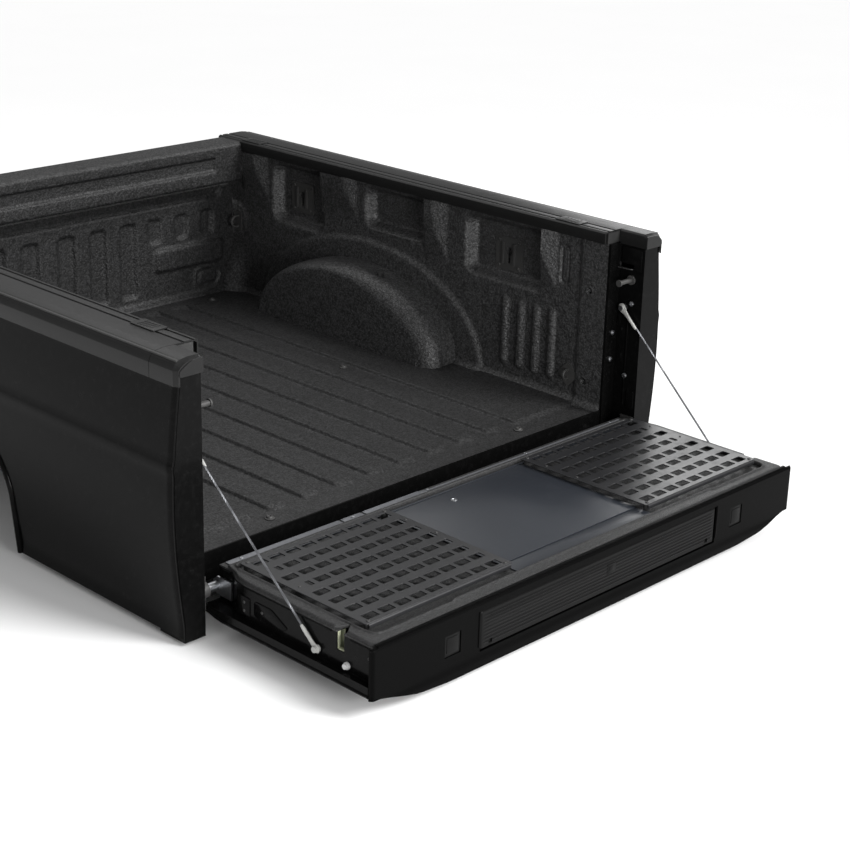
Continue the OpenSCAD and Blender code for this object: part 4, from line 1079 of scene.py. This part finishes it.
def rear_face():
    """The plastic face along the tailgate's top edge, open for the step's flap and two plugs."""
    y0 = FACE_LO.y
    flap_x, flap_z = FLAP_HI.x + 0.002, (FLAP_LO.z - 0.002, FLAP_HI.z + 0.002)
    plug_x = (PLUG_HI.x - 0.052 - 0.0003, PLUG_HI.x + 0.0003)
    plug_z = (PLUG_LO.z - 0.0003, PLUG_HI.z + 0.0003)
    marks = [(s * x, 0.0, 1) for s in (-1, 1) for x in (flap_x, *plug_x)]
    xs = lines(-FACE_HI.x, FACE_HI.x, 0.02, *marks, (-0.800, 0.008, 0.002), (0.800, 0.008, 0.002))
    zs = lines(-0.160, 0.006, 0.007, *[(z, 0, 1) for z in (*flap_z, *plug_z)], (0.002, 0.005, 0.0015))

    def sunk(x, z):
        foot = gate_foot(x)
        low = flap_z[0] - 0.002
        return np.where(z < low, low + (z - low) * (foot - low) / (-0.160 - low), z)

    def face(x, z):
        top = ease(z, 0.001, 0.006)
        z = sunk(x, z)
        lip = ease(z, -0.126, -0.140)
        end = ease(np.abs(x), 0.794, 0.806)
        return x, y0 + 0.005 * top ** 2 + 0.006 * end ** 2 - 0.004 * lip * (1 - end), z

    def back(x, z):
        return x, np.full_like(x, y0 + 0.010), sunk(x, z)

    def keep(x, z):
        a = np.abs(x)
        flap = (a < flap_x) & (z > flap_z[0]) & (z < flap_z[1])
        plug = (a > plug_x[0]) & (a < plug_x[1]) & (z > plug_z[0]) & (z < plug_z[1])
        return ~(flap | plug)
    skin = slab(xs, zs, face, back, keep)
    lip = [(y0 + 0.0100, 0.0003), (y0 + 0.0165, 0.0085), (y0 + 0.0170, 0.0092),
           (y0 + 0.0100, 0.0092), (y0 + 0.003, 0.0062), (y0 + 0.003, -0.002), (y0 + 0.0098, -0.002)]
    reach = GATE_HI.x - 0.002
    top = loft([-reach, -reach + 0.01, 0, reach - 0.01, reach],
               lambda x: [(x, y, z) for y, z in rounded(lip, 0.0012, 2)])
    parts = [skin, top]
    for s in (-1, 1):
        frame_line = [(s * (flap_x + 0.004), z) for z in (flap_z[0] + 0.012, flap_z[1])]
        parts.append(plate(rect(min(p[0] for p in frame_line) - 0.002, max(p[0] for p in frame_line) + 0.002,
                                frame_line[0][1], frame_line[1][1], 0.0015, 3),
                           -0.001, 0.0016, 0.0008, lambda u, v, h: (u, y0 - h, v)))
    # The rear face takes the darker copy of the gate plastic: painted shade.
    make("tailgate_rear_face", joined(*parts), "gate_plastic", "tailgate", "tailgate_top_cap", angle=40,
         look=SHADED_REAR_FINISH)


def rear_plugs():
    parts = []
    for s in (-1, 1):
        x0, x1 = sorted((s * (PLUG_HI.x - 0.0514), s * PLUG_HI.x))
        at_face = lambda u, v, h: (u, PLUG_HI.y - h, v)
        deep = PLUG_HI.y - PLUG_LO.y
        parts.append(plate(rect(x0, x1, PLUG_LO.z, PLUG_HI.z, 0.004), 0, deep - 0.001, 0.0012, at_face))
        frame_in = rect(x0 + 0.007, x1 - 0.007, PLUG_LO.z + 0.007, PLUG_HI.z - 0.007, 0.004)
        parts.append(plate(frame_in, deep - 0.0015, deep + 0.0004, 0.0012, at_face))
    make("rear_plugs", joined(*parts), "gate_plastic", "tailgate", "cap_plugs")


def step_flap():
    """The step's cover flap: grip lines across it, chamfered foot, notched for its ears and button."""
    x1, z0, z1 = FLAP_HI.x, FLAP_LO.z, FLAP_HI.z
    ear = x1 - 0.035
    hole = (BUTTON_LO.x - 0.0003, BUTTON_HI.x + 0.0003, BUTTON_LO.z - 0.0003, BUTTON_HI.z + 0.0003)
    marks = [(s * x, 0, 1) for s in (-1, 1) for x in (ear - 0.006, ear + 0.006)]
    marks += [(hole[0], 0, 1), (hole[1], 0, 1)]
    xs = lines(-x1, x1, 0.02, *marks, (-x1 + 0.006, 0.006, 0.002), (x1 - 0.006, 0.006, 0.002))
    zs = lines(z0, z1, 0.0018, (hole[2], 0, 1), (hole[3], 0, 1), (z0 + 0.020, 0, 1))
    grips = [z0 + 0.016 + i * 0.0088 for i in range(9)]

    def face(x, z):
        h = np.zeros_like(x)
        inside = ease(np.abs(x), x1 - 0.006, x1 - 0.020)
        for c in grips:
            h += 0.0016 * np.exp(-((z - c) / 0.0016) ** 4) * inside
        edge = ease(np.minimum(z - z0, z1 - z), 0.004, 0) + ease(np.abs(x), x1 - 0.005, x1)
        return x, FLAP_LO.y + np.minimum(0.0045, 0.004 * edge) + 0.0012 - h, z

    def back(x, z):
        return x, np.full_like(x, FLAP_HI.y), z

    def keep(x, z):
        ears = (np.abs(np.abs(x) - ear) < 0.006) & (z < z0 + 0.020)
        button = (x > hole[0]) & (x < hole[1]) & (z > hole[2]) & (z < hole[3])
        return ~(ears | button)
    make("step_flap_skin", slab(xs, zs, face, back, keep), "gate_plastic", "step_flap", "step_flap",
         angle=40)
    at_face = lambda u, v, h: (u, BUTTON_HI.y - h, v)
    deep = BUTTON_HI.y - BUTTON_LO.y
    cap = plate(rect(BUTTON_LO.x, BUTTON_HI.x, BUTTON_LO.z, BUTTON_HI.z, 0.004), 0, deep, 0.0015, at_face)
    dish = plate(rect(BUTTON_LO.x + 0.008, BUTTON_HI.x - 0.008, BUTTON_LO.z + 0.007,
                      BUTTON_HI.z - 0.007, 0.005),
                 deep - 0.0005, deep + 0.0008, 0.0008, at_face)
    make("step_button_cap", joined(cap, dish), "gate_plastic", "step_button", "step_button")


# ---- Slotted panels ----

COLUMNS, ROWS = 9, 8
COL_PITCH, ROW_PITCH = 0.051, 0.054
SLOT_W, SLOT_L = 0.038, 0.0255
NARROW_ROWS = (2, 4)


def sides_of(box, r, n=4):
    """The outline of a rounded rectangle as four sides, each from one corner's middle to the next's."""
    u0, u1, v0, v1 = box
    corners = [arc(u1 - r, v0 + r, r, -90, 0, 2 * n), arc(u1 - r, v1 - r, r, 0, 90, 2 * n),
               arc(u0 + r, v1 - r, r, 90, 180, 2 * n), arc(u0 + r, v0 + r, r, 180, 270, 2 * n)]
    return [corners[i][n:] + corners[(i + 1) % 4][:n + 1] for i in range(4)]


def grid_sides(u0, v0, columns, rows, du, dv):
    """The outline of a grid of cells as four sides with a point at every cell's corner."""
    us, vs = [u0 + i * du for i in range(columns + 1)], [v0 + j * dv for j in range(rows + 1)]
    return [[(us[-1], v) for v in vs], [(u, vs[-1]) for u in us[::-1]],
            [(us[0], v) for v in vs[::-1]], [(u, vs[0]) for u in us]]


def sheet_with_hole(outer, holes, low, high):
    """Top and bottom faces between an outline's four sides and a hole's, with the hole's chamfered wall.
    holes are (sides, height) from the top down: the first joins the top face, the last the bottom one."""
    verts, faces = [], []

    def add(points):
        start = len(verts)
        verts.extend(points)
        return list(range(start, start + len(points)))
    for i in range(4):
        top = add([(u, v, high) for u, v in outer[i]])
        bottom = add([(u, v, low) for u, v in outer[i]])
        rings = [add([(u, v, h) for u, v in sides[i]]) for sides, h in holes]
        faces.append(top + rings[0][::-1])
        faces.append(bottom[::-1] + rings[-1])
        for a, b in zip(rings, rings[1:]):
            faces += [[a[j], a[j + 1], b[j + 1], b[j]] for j in range(len(a) - 1)]
    return verts, faces


def slot_tile(width, shift, thick):
    """One cell of a slotted sheet with a rounded slot through it."""
    cell = [[(COL_PITCH / 2, -ROW_PITCH / 2), (COL_PITCH / 2, ROW_PITCH / 2)],
            [(COL_PITCH / 2, ROW_PITCH / 2), (-COL_PITCH / 2, ROW_PITCH / 2)],
            [(-COL_PITCH / 2, ROW_PITCH / 2), (-COL_PITCH / 2, -ROW_PITCH / 2)],
            [(-COL_PITCH / 2, -ROW_PITCH / 2), (COL_PITCH / 2, -ROW_PITCH / 2)]]

    def hole(grow):
        return sides_of((shift - width / 2 - grow, shift + width / 2 + grow,
                         -SLOT_L / 2 - grow, SLOT_L / 2 + grow), 0.0032 + grow, 2)
    edge = 0.0006
    walls = [(hole(edge), thick), (hole(0), thick - edge), (hole(0), edge), (hole(edge), 0.0)]
    return sheet_with_hole(cell, walls, 0.0, thick)


def slotted_panel(name, side):
    """A laser-cut sheet on spacers, its rear edge turned down as a flange."""
    thick = PANEL_HI.z - PANEL_LO.z
    mid_x, mid_y = side * (PANEL_LO.x + PANEL_HI.x) / 2, (PANEL_LO.y + PANEL_HI.y) / 2
    z0 = PANEL_LO.z
    plain, narrow = [], []
    for i in range(COLUMNS):
        for j in range(ROWS):
            across = mid_x + (i - (COLUMNS - 1) / 2) * COL_PITCH
            spot = (across, mid_y + (j - (ROWS - 1) / 2) * ROW_PITCH, z0)
            outermost = i == (0 if side < 0 else COLUMNS - 1)
            from_bed = ROWS - j
            (narrow if outermost and from_bed in NARROW_ROWS else plain).append(spot)
    tiles = scattered(slot_tile(SLOT_W, 0, thick), plain, [DOWN_Z] * len(plain), "panel_coat")
    small = scattered(slot_tile(0.013, -side * 0.0115, thick), narrow, [DOWN_Z] * len(narrow), "panel_coat")
    grid_w, grid_l = COLUMNS * COL_PITCH, ROWS * ROW_PITCH
    grid = grid_sides(mid_x - grid_w / 2, mid_y - grid_l / 2, COLUMNS, ROWS, COL_PITCH, ROW_PITCH)
    half_w, half_l = (PANEL_HI.x - PANEL_LO.x) / 2, (PANEL_HI.y - PANEL_LO.y) / 2
    box = (mid_x - half_w, mid_x + half_w, mid_y - half_l, mid_y + half_l)

    def outline(by):
        u0, u1, v0, v1 = box
        rows = sides_of((u0 + by, u1 - by, v0 + by, v1 - by), 0.006 - by, 3)
        return rows
    verts, faces = [], []

    def add(points):
        start = len(verts)
        verts.extend(points)
        return list(range(start, start + len(points)))
    edge = 0.0008
    for i in range(4):
        levels = [(edge, z0 + thick), (0, z0 + thick - edge), (0, z0 + edge), (edge, z0)]
        rings = [add([(u, v, h) for u, v in outline(by)[i]]) for by, h in levels]
        top = add([(u, v, z0 + thick) for u, v in grid[i]])
        bottom = add([(u, v, z0) for u, v in grid[i]])
        faces.append(rings[0] + top[::-1])
        faces.append(rings[-1][::-1] + bottom)
        for a, b in zip(rings, rings[1:]):
            faces += [[a[j], a[j + 1], b[j + 1], b[j]] for j in range(len(a) - 1)]
    border = as_mesh("border", (verts, faces))
    rear = box[2]
    bend = [(rear, z0 + thick - 0.0012), (rear - 0.0028, z0 + thick - 0.0045), (rear - 0.0032, 0.0075),
            (rear - 0.0002, 0.0075), (rear + 0.0004, z0 + 0.0004)]
    flange = loft([box[0] + 0.008, box[0] + 0.009, mid_x, box[1] - 0.009, box[1] - 0.008],
                  lambda x: [(x, y, z) for y, z in rounded(bend, 0.0010, 2)])
    sheet = clean(merged(tiles, small, border), 30)
    whole = merged(sheet, clean(as_mesh("flange", flange), 30))
    whole.materials.clear()
    settle(f"slotted_panel_skin_{name}", whole, "panel_coat", "tailgate", f"slotted_panel_{name}")


def panel_hardware():
    """Screws and spacers under the slotted panels, and the small screws along the tailgate's edge."""
    half_w, half_l = (PANEL_HI.x - PANEL_LO.x) / 2 - 0.016, (PANEL_HI.y - PANEL_LO.y) / 2 - 0.010
    mid_x, mid_y, top = (PANEL_LO.x + PANEL_HI.x) / 2, (PANEL_LO.y + PANEL_HI.y) / 2, PANEL_HI.z
    corners = [(s * (mid_x + i * half_w), mid_y + j * half_l)
               for s in (-1, 1) for i in (-1, 1) for j in (-1, 1)]
    heads = scattered(screw(0.0050, 0.0026, 0.003, 0.0185, 0.0019), [(x, y, top) for x, y in corners],
                      [DOWN_Z] * len(corners), "dark_steel")
    small = [(s * (PANEL_HI.x - 0.020), mid_y + (ROWS - row - (ROWS - 1) / 2) * ROW_PITCH, top)
             for s in (-1, 1) for row in NARROW_ROWS]
    small += [(s * (PANEL_LO.x + 0.012), mid_y + (ROWS / 2 - row) * ROW_PITCH, top)
              for s in (-1, 1) for row in (1.5, 3.5)]
    small_screw = screw(0.0036, 0.0018, 0.0015, 0.003, 0.0014)
    extra = scattered(small_screw, small, [DOWN_Z] * len(small), "dark_steel")
    settle("panel_screw_heads", merged(heads, extra), "dark_steel", "tailgate", "panel_screws")
    spacer = lathe([(0.0034, 0), (0.0088, 0), (0.009, 0.001), (0.009, 0.016), (0.0088, 0.017),
                    (0.0034, 0.017)],
                   FLAT, 24)
    tube = spacer[0], spacer[1][:-2] + [[i * 6, ((i + 1) % 24) * 6, ((i + 1) % 24) * 6 + 5, i * 6 + 5]
                                        for i in range(24)]
    spots = [(x, y, 0.0) for x, y in corners]
    sleeves = scattered(tube, spots, [DOWN_Z] * len(spots), "rubber_black")
    settle("panel_spacer_sleeves", sleeves, "rubber_black",
           "tailgate", "panel_spacers")


def trim_strip():
    """Bright trim along the tailgate's bed edge, in three lengths, with its screws."""
    y0, y1, z1 = STRIP_LO.y, STRIP_HI.y, STRIP_HI.z
    mid = (y0 + y1) / 2
    parts = []
    for x0, x1 in ((STRIP_LO.x, -0.372), (-0.366, -0.296), (-0.290, -0.085)):
        parts.append(plate(rect(x0, x1, y0, y1, 0.003, 3), 0, z1, 0.0012, FLAT))
        inner = rect(x0 + 0.006, x1 - 0.006, y1 - 0.0050, y1 - 0.0020, 0.0012, 3)
        parts.append(plate(inner, z1 - 0.001, z1 + 0.0012, 0.0006, FLAT))
    point = [(-0.088, y0), (-0.055, mid - 0.003), (STRIP_HI.x, mid - 0.003), (STRIP_HI.x, mid + 0.003),
             (-0.055, mid + 0.003), (-0.088, y1)]
    parts.append(plate(point, 0, z1 - 0.0004, 0.0010, FLAT))
    make("edge_trim", joined(*parts), "trim_metal", "tailgate", "edge_trim_strip")
    spots = [(x, mid, z1) for x in (-0.700, -0.331, -0.060, 0.330, 0.700)]
    mesh = scattered(screw(0.0045, 0.0025, 0.0024, 0.003, 0.0016), spots, [DOWN_Z] * 5, "zinc")
    settle("trim_screw_heads", mesh, "zinc", "tailgate", "trim_screws")


def centre_plate():
    """A flat satin plate with a fold along its rear edge and a small lock."""
    x, y0, y1 = PLATE_HI.x, PLATE_LO.y, PLATE_HI.y
    parts = [plate(rect(-x, x, y0, y1, 0.008), 0, PLATE_HI.z, 0.0012, FLAT),
             plate(rect(-x + 0.004, x - 0.004, y0 - 0.052, y0 - 0.003, 0.006), 0.0002, 0.0030, 0.0010, FLAT),
             plate(rect(-0.700, 0.700, y1 + 0.004, y1 + 0.012, 0.002, 3), 0.0002, 0.0032, 0.0010, FLAT)]
    make("centre_plate_skin", joined(*parts), "plate_coat", "tailgate", "centre_plate")
    lock = (-0.060, (y0 + y1) / 2 + 0.150, PLATE_HI.z)
    disc = [(0, -0.001), (0.009, -0.001), (0.009, 0.0008), (0.0078, 0.0018), (0.0062, 0.0018),
            (0.0055, 0.0006), (0, 0.0006)]
    mesh = scattered(lathe(disc, FLAT, 20), [lock], [DOWN_Z], "zinc")
    settle("plate_lock", mesh, "zinc", "tailgate")


# ---- Tailgate sides ----

def gate_bottom(y):
    """Lowest line of the tailgate's skin at a distance from the bed."""
    t = min(1.0, max(0.0, (GATE_HI.y - y + 0.060) / 0.420))
    return -0.088 - (0.152 - 0.088) * math.sin(math.pi / 2 * t)


def gate_side_details(name, side):
    """Hem and seams along the tailgate's side, with raised patches and small studs."""
    wide, edge = FACE_HI.x, GATE_HI.x
    y_end = FACE_LO.y + 0.012
    hem = [(side * (wide - 0.001), y, max(gate_bottom(y), -0.114) + 0.003)
           for y in np.linspace(-0.084, y_end, 30)]
    second = [(side * (edge + 0.0005), y, -0.090) for y in np.linspace(-0.215, y_end, 24)]
    top = [(side * (gate_edge_x(y) + 0.0003), y, -0.006) for y in
           list(np.linspace(-0.09, -0.21, 10)) + list(np.linspace(-0.24, -0.505, 6))]
    after = [(side * (edge + 0.0003), y, -0.006) for y in np.linspace(-0.567, y_end, 4)]
    seams = [bead(path, r, "gloss_black", sides=8) for path, r in
             ((hem, 0.0042), (second, 0.0030), (top, 0.0024), (after, 0.0024))]
    at_side = lambda u, v, h: (side * (edge + h), u, v)
    patch = [plate(rounded([(-0.30, -0.030), (-0.24, -0.030), (-0.24, -0.070), (-0.33, -0.078),
                            (-0.36, -0.060)],
                           0.010), -0.001, 0.002, 0.001, at_side),
             plate(rect(-0.225, -0.185, -0.080, -0.030, 0.006), -0.001, 0.0025, 0.001, at_side)]
    patch = clean(as_mesh("patch", joined(*patch)))
    settle(f"gate_side_seams_{name}", merged(*seams, patch), "gloss_black", "tailgate",
           look=FINISHES["gloss_black"])
    studs = screw(0.004, 0.003, 0.002, 0.002, 0.0015)
    spots = [(side * (edge + 0.001), y, z) for y, z in ((-0.270, -0.050), (-0.206, -0.044), (-0.206, -0.066),
                                                       (-0.630, -0.030))]
    turn = TO_INSIDE[-side]
    studs = scattered(studs, spots, [turn] * len(spots), "dark_steel")
    settle(f"gate_side_studs_{name}", studs, "dark_steel",
           "tailgate")


# ---- Check cables ----

def cable_line():
    """Ends of the right-hand cable: at the tailgate and at the post."""
    lo, hi = bed_box("check_cable_right")
    inset_by = Vector((0.00275, 0.002, 0.001))
    return lo + inset_by, hi - inset_by


def check_cable(name, side):
    low, high = cable_line()
    low, high = Vector((side * low.x, low.y, low.z)), Vector((side * high.x, high.y, high.z))
    base = bpy.data.meshes.new("cable_path")
    base.from_pydata([tuple(low + SHIFT), tuple(high + SHIFT)], [(0, 1)], [])
    rope = grown("strand", base.copy(), Strands=6, Radius=0.00165, Wire=0.00112, Rings=150, Lay=0.055,
                 Finish=FINISHES["cable_steel"])
    core = bead([low, high], 0.0012, "cable_steel", sides=6)
    rope = settle(f"cable_{name}", merged(clean(rope, 60), core), "cable_steel", None, f"check_cable_{name}")
    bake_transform(rope)


def cable_fitting(side, upper):
    """A spoon-shaped eye, its stud and the crimped sleeve that takes the cable."""
    low, high = cable_line()
    way = (high - low).normalized()
    eye = Vector((high.x, -0.032, 0.318)) if upper else Vector((low.x, -0.461, -0.068))
    way = -way if upper else way
    length = 0.078 if upper else 0.066
    wide = 0.0135 if upper else 0.0110
    out = Vector((1, 0, 0))
    flank = way.cross(out).normalized()

    def spoon(step):
        along, half, thick = step
        centre = eye + way * along
        ring = []
        for i in range(16):
            a = math.tau * i / 16
            p = centre + flank * half * math.cos(a) + out * thick * math.sin(a)
            ring.append((side * p.x, p.y, p.z))
        return ring
    steps = [(-wide, wide * 0.12, 0.0010), (-wide * 0.8, wide * 0.62, 0.0018),
             (-wide * 0.4, wide * 0.93, 0.0024), (0, wide, 0.0026), (wide * 0.5, wide * 0.93, 0.0026),
             (wide * 1.1, wide * 0.66, 0.0028), (length * 0.42, 0.0060, 0.0034),
             (length * 0.55, 0.0052, 0.0044), (length * 0.62, 0.0050, 0.0050),
             (length * 0.72, 0.0044, 0.0044), (length * 0.75, 0.0050, 0.0050),
             (length * 0.88, 0.0044, 0.0044), (length * 0.94, 0.0040, 0.0040),
             (length - 0.001, 0.0034, 0.0034)]
    shell = clean(as_mesh("spoon", loft(steps, spoon)), 60)
    boss = [(0, -0.004), (0.0082, -0.004), (0.0086, -0.002), (0.0086, 0.0020), (0.0070, 0.0034),
            (0.0050, 0.0036), (0.0045, 0.0052), (0, 0.0054)]
    boss_x = eye.x - 0.002 if upper else eye.x + 0.002
    cap = scattered(lathe(boss, FLAT, 24), [(side * boss_x, eye.y, eye.z)],
                    [TO_INSIDE[side if upper else -side]], "pale_fitting")
    return merged(shell, cap)


def cable_fittings():
    for upper, title, node, body in ((True, "upper_fittings", "upper_cable_ends", "bed"),
                                     (False, "lower_fittings", "lower_cable_ends", "tailgate")):
        both_sides = merged(*[cable_fitting(side, upper) for side in SIDES.values()])
        if not upper:
            studs = [(s * GATE_HI.x, -0.461, -0.068) for s in (-1, 1)]
            stud = lathe([(0, -0.001), (0.009, -0.001), (0.009, 0.002), (0.005, 0.003), (0.005, 0.012),
                          (0.0072, 0.0125), (0.0072, 0.0145), (0, 0.015)], FLAT, 20)
            turns = [TO_INSIDE[1], TO_INSIDE[-1]]
            both_sides = merged(both_sides, scattered(stud, studs, turns, "pale_fitting"))
        both_sides.materials.clear()
        settle(title, both_sides, "pale_fitting", body, node)


# ---- CAD nodes that stay, with their finishes ----

KEPT = {
    "pan_metal": ("floor_pan", "tailgate_inner_panel"),
    "frame_metal": ("cross_sills", "side_frame_left", "side_frame_right", "step_guides"),
    "gloss_black": ("corner_post_left", "corner_post_right", "tailgate_shell", "rear_sill"),
    "rubber_black": ("mount_pads", "arch_plugs"),
    "dark_steel": ("tie_down_plates", "rear_tie_downs", "hinge_cups", "strikers", "front_tie_loops"),
    "zinc": ("cable_studs", "latch_rod_left", "latch_rod_right", "latch_claw_left", "latch_claw_right",
             "hinge_trunnions"),
    "yellow_zinc": ("side_latches",),
    "bumper_pale": ("bump_stops",),
    "gate_plastic": ("handle_bezel", "release_handle", "step_carriage"),
}


def dress_frame_nodes():
    for slot, names in KEPT.items():
        for name in names:
            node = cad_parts[name]
            node.data.materials.clear()
            node.data.materials.append(RIM_FINISH if name == "tailgate_inner_panel" else FINISHES[slot])


# ---- Studio ----

def studio():
    """Pale floor, the sky and soft lights."""
    ground = bpy.data.meshes.new("studio_floor")
    ground.from_pydata([(-30, -30, 0), (30, -30, 0), (30, 30, 0), (-30, 30, 0)], [], [(0, 1, 2, 3)])
    floor = bpy.data.objects.new("studio_floor", ground)
    bpy.context.scene.collection.objects.link(floor)
    ground.materials.append(finish("studio_paper", lambda g: {
        "Base Color": g.mix(g.noise(1.5, 2), grey(0.93), grey(0.95)), "Roughness": 0.9}))
    world = bpy.data.worlds.new("studio_sky")
    bpy.context.scene.world = world
    world.use_nodes = True
    sky = world.node_tree.nodes["Background"]
    sky.inputs["Color"].default_value = (1, 1, 1, 1)
    sky.inputs["Strength"].default_value = 0.36
    sun = bpy.data.lights.new("sun", "SUN")
    sun.energy, sun.angle = 3.5, math.radians(24)
    sun_holder = bpy.data.objects.new("sun", sun)
    sun_holder.rotation_euler = Vector((-0.30, 0.70, -0.62)).to_track_quat("-Z", "Y").to_euler()
    bpy.context.scene.collection.objects.link(sun_holder)
    lights = (("over", (0.6, 1.6, 3.0), (0, 0.2, 0.3), 2.0, 24),
              ("behind", (-1.3, -4.2, 0.95), (0.3, 0.4, 0.4), 1.6, 120),
              ("far_side", (3.6, 1.0, 2.0), (0, -0.2, 0.3), 1.6, 30))
    for name, place, aim, size, power in lights:
        lamp = bpy.data.lights.new(name, "AREA")
        lamp.size, lamp.energy = size, power
        holder = bpy.data.objects.new(name, lamp)
        holder.location = place
        holder.rotation_euler = (Vector(aim) - Vector(place)).to_track_quat("-Z", "Y").to_euler()
        bpy.context.scene.collection.objects.link(holder)
    bpy.context.scene.view_settings.view_transform = "Standard"


def camera():
    """The camera over the left rear corner, looking down the bed."""
    azimuth, elevation, roll = (math.radians(a) for a in (45.96, 20.66, 1.52))
    look = Vector((math.sin(azimuth) * math.cos(elevation), math.cos(azimuth) * math.cos(elevation),
                   -math.sin(elevation)))
    right = look.cross(Vector((0, 0, 1))).normalized()
    up = right.cross(look)
    c, s = math.cos(roll), math.sin(roll)
    right, up = c * right + s * up, c * up - s * right
    lens = bpy.data.cameras.new("camera")
    lens.lens, lens.sensor_width = 77.45, 36
    eye = bpy.data.objects.new("camera", lens)
    turn = Matrix((right, up, -look)).transposed()
    eye.matrix_world = Matrix.Translation((-3.281, -3.734, 2.046)) @ turn.to_4x4()
    bpy.context.scene.collection.objects.link(eye)
    bpy.context.scene.camera = eye


camera()
studio()
dress_frame_nodes()
floor_liner()
floor_bolt_heads()
front_wall()
front_header()
rail_details()
wall_screws()
post_bolt_heads()
for name, side in SIDES.items():
    side_wall(name, side)
    wheel_arch(name, side)
    rail_cap(name, side)
    post_details(name, side)
    outer_panel(name, side)
    slotted_panel(name, side)
    gate_side_details(name, side)
    check_cable(name, side)
tailgate_rim()
rear_face()
rear_plugs()
step_flap()
panel_hardware()
trim_strip()
centre_plate()
cable_fittings()
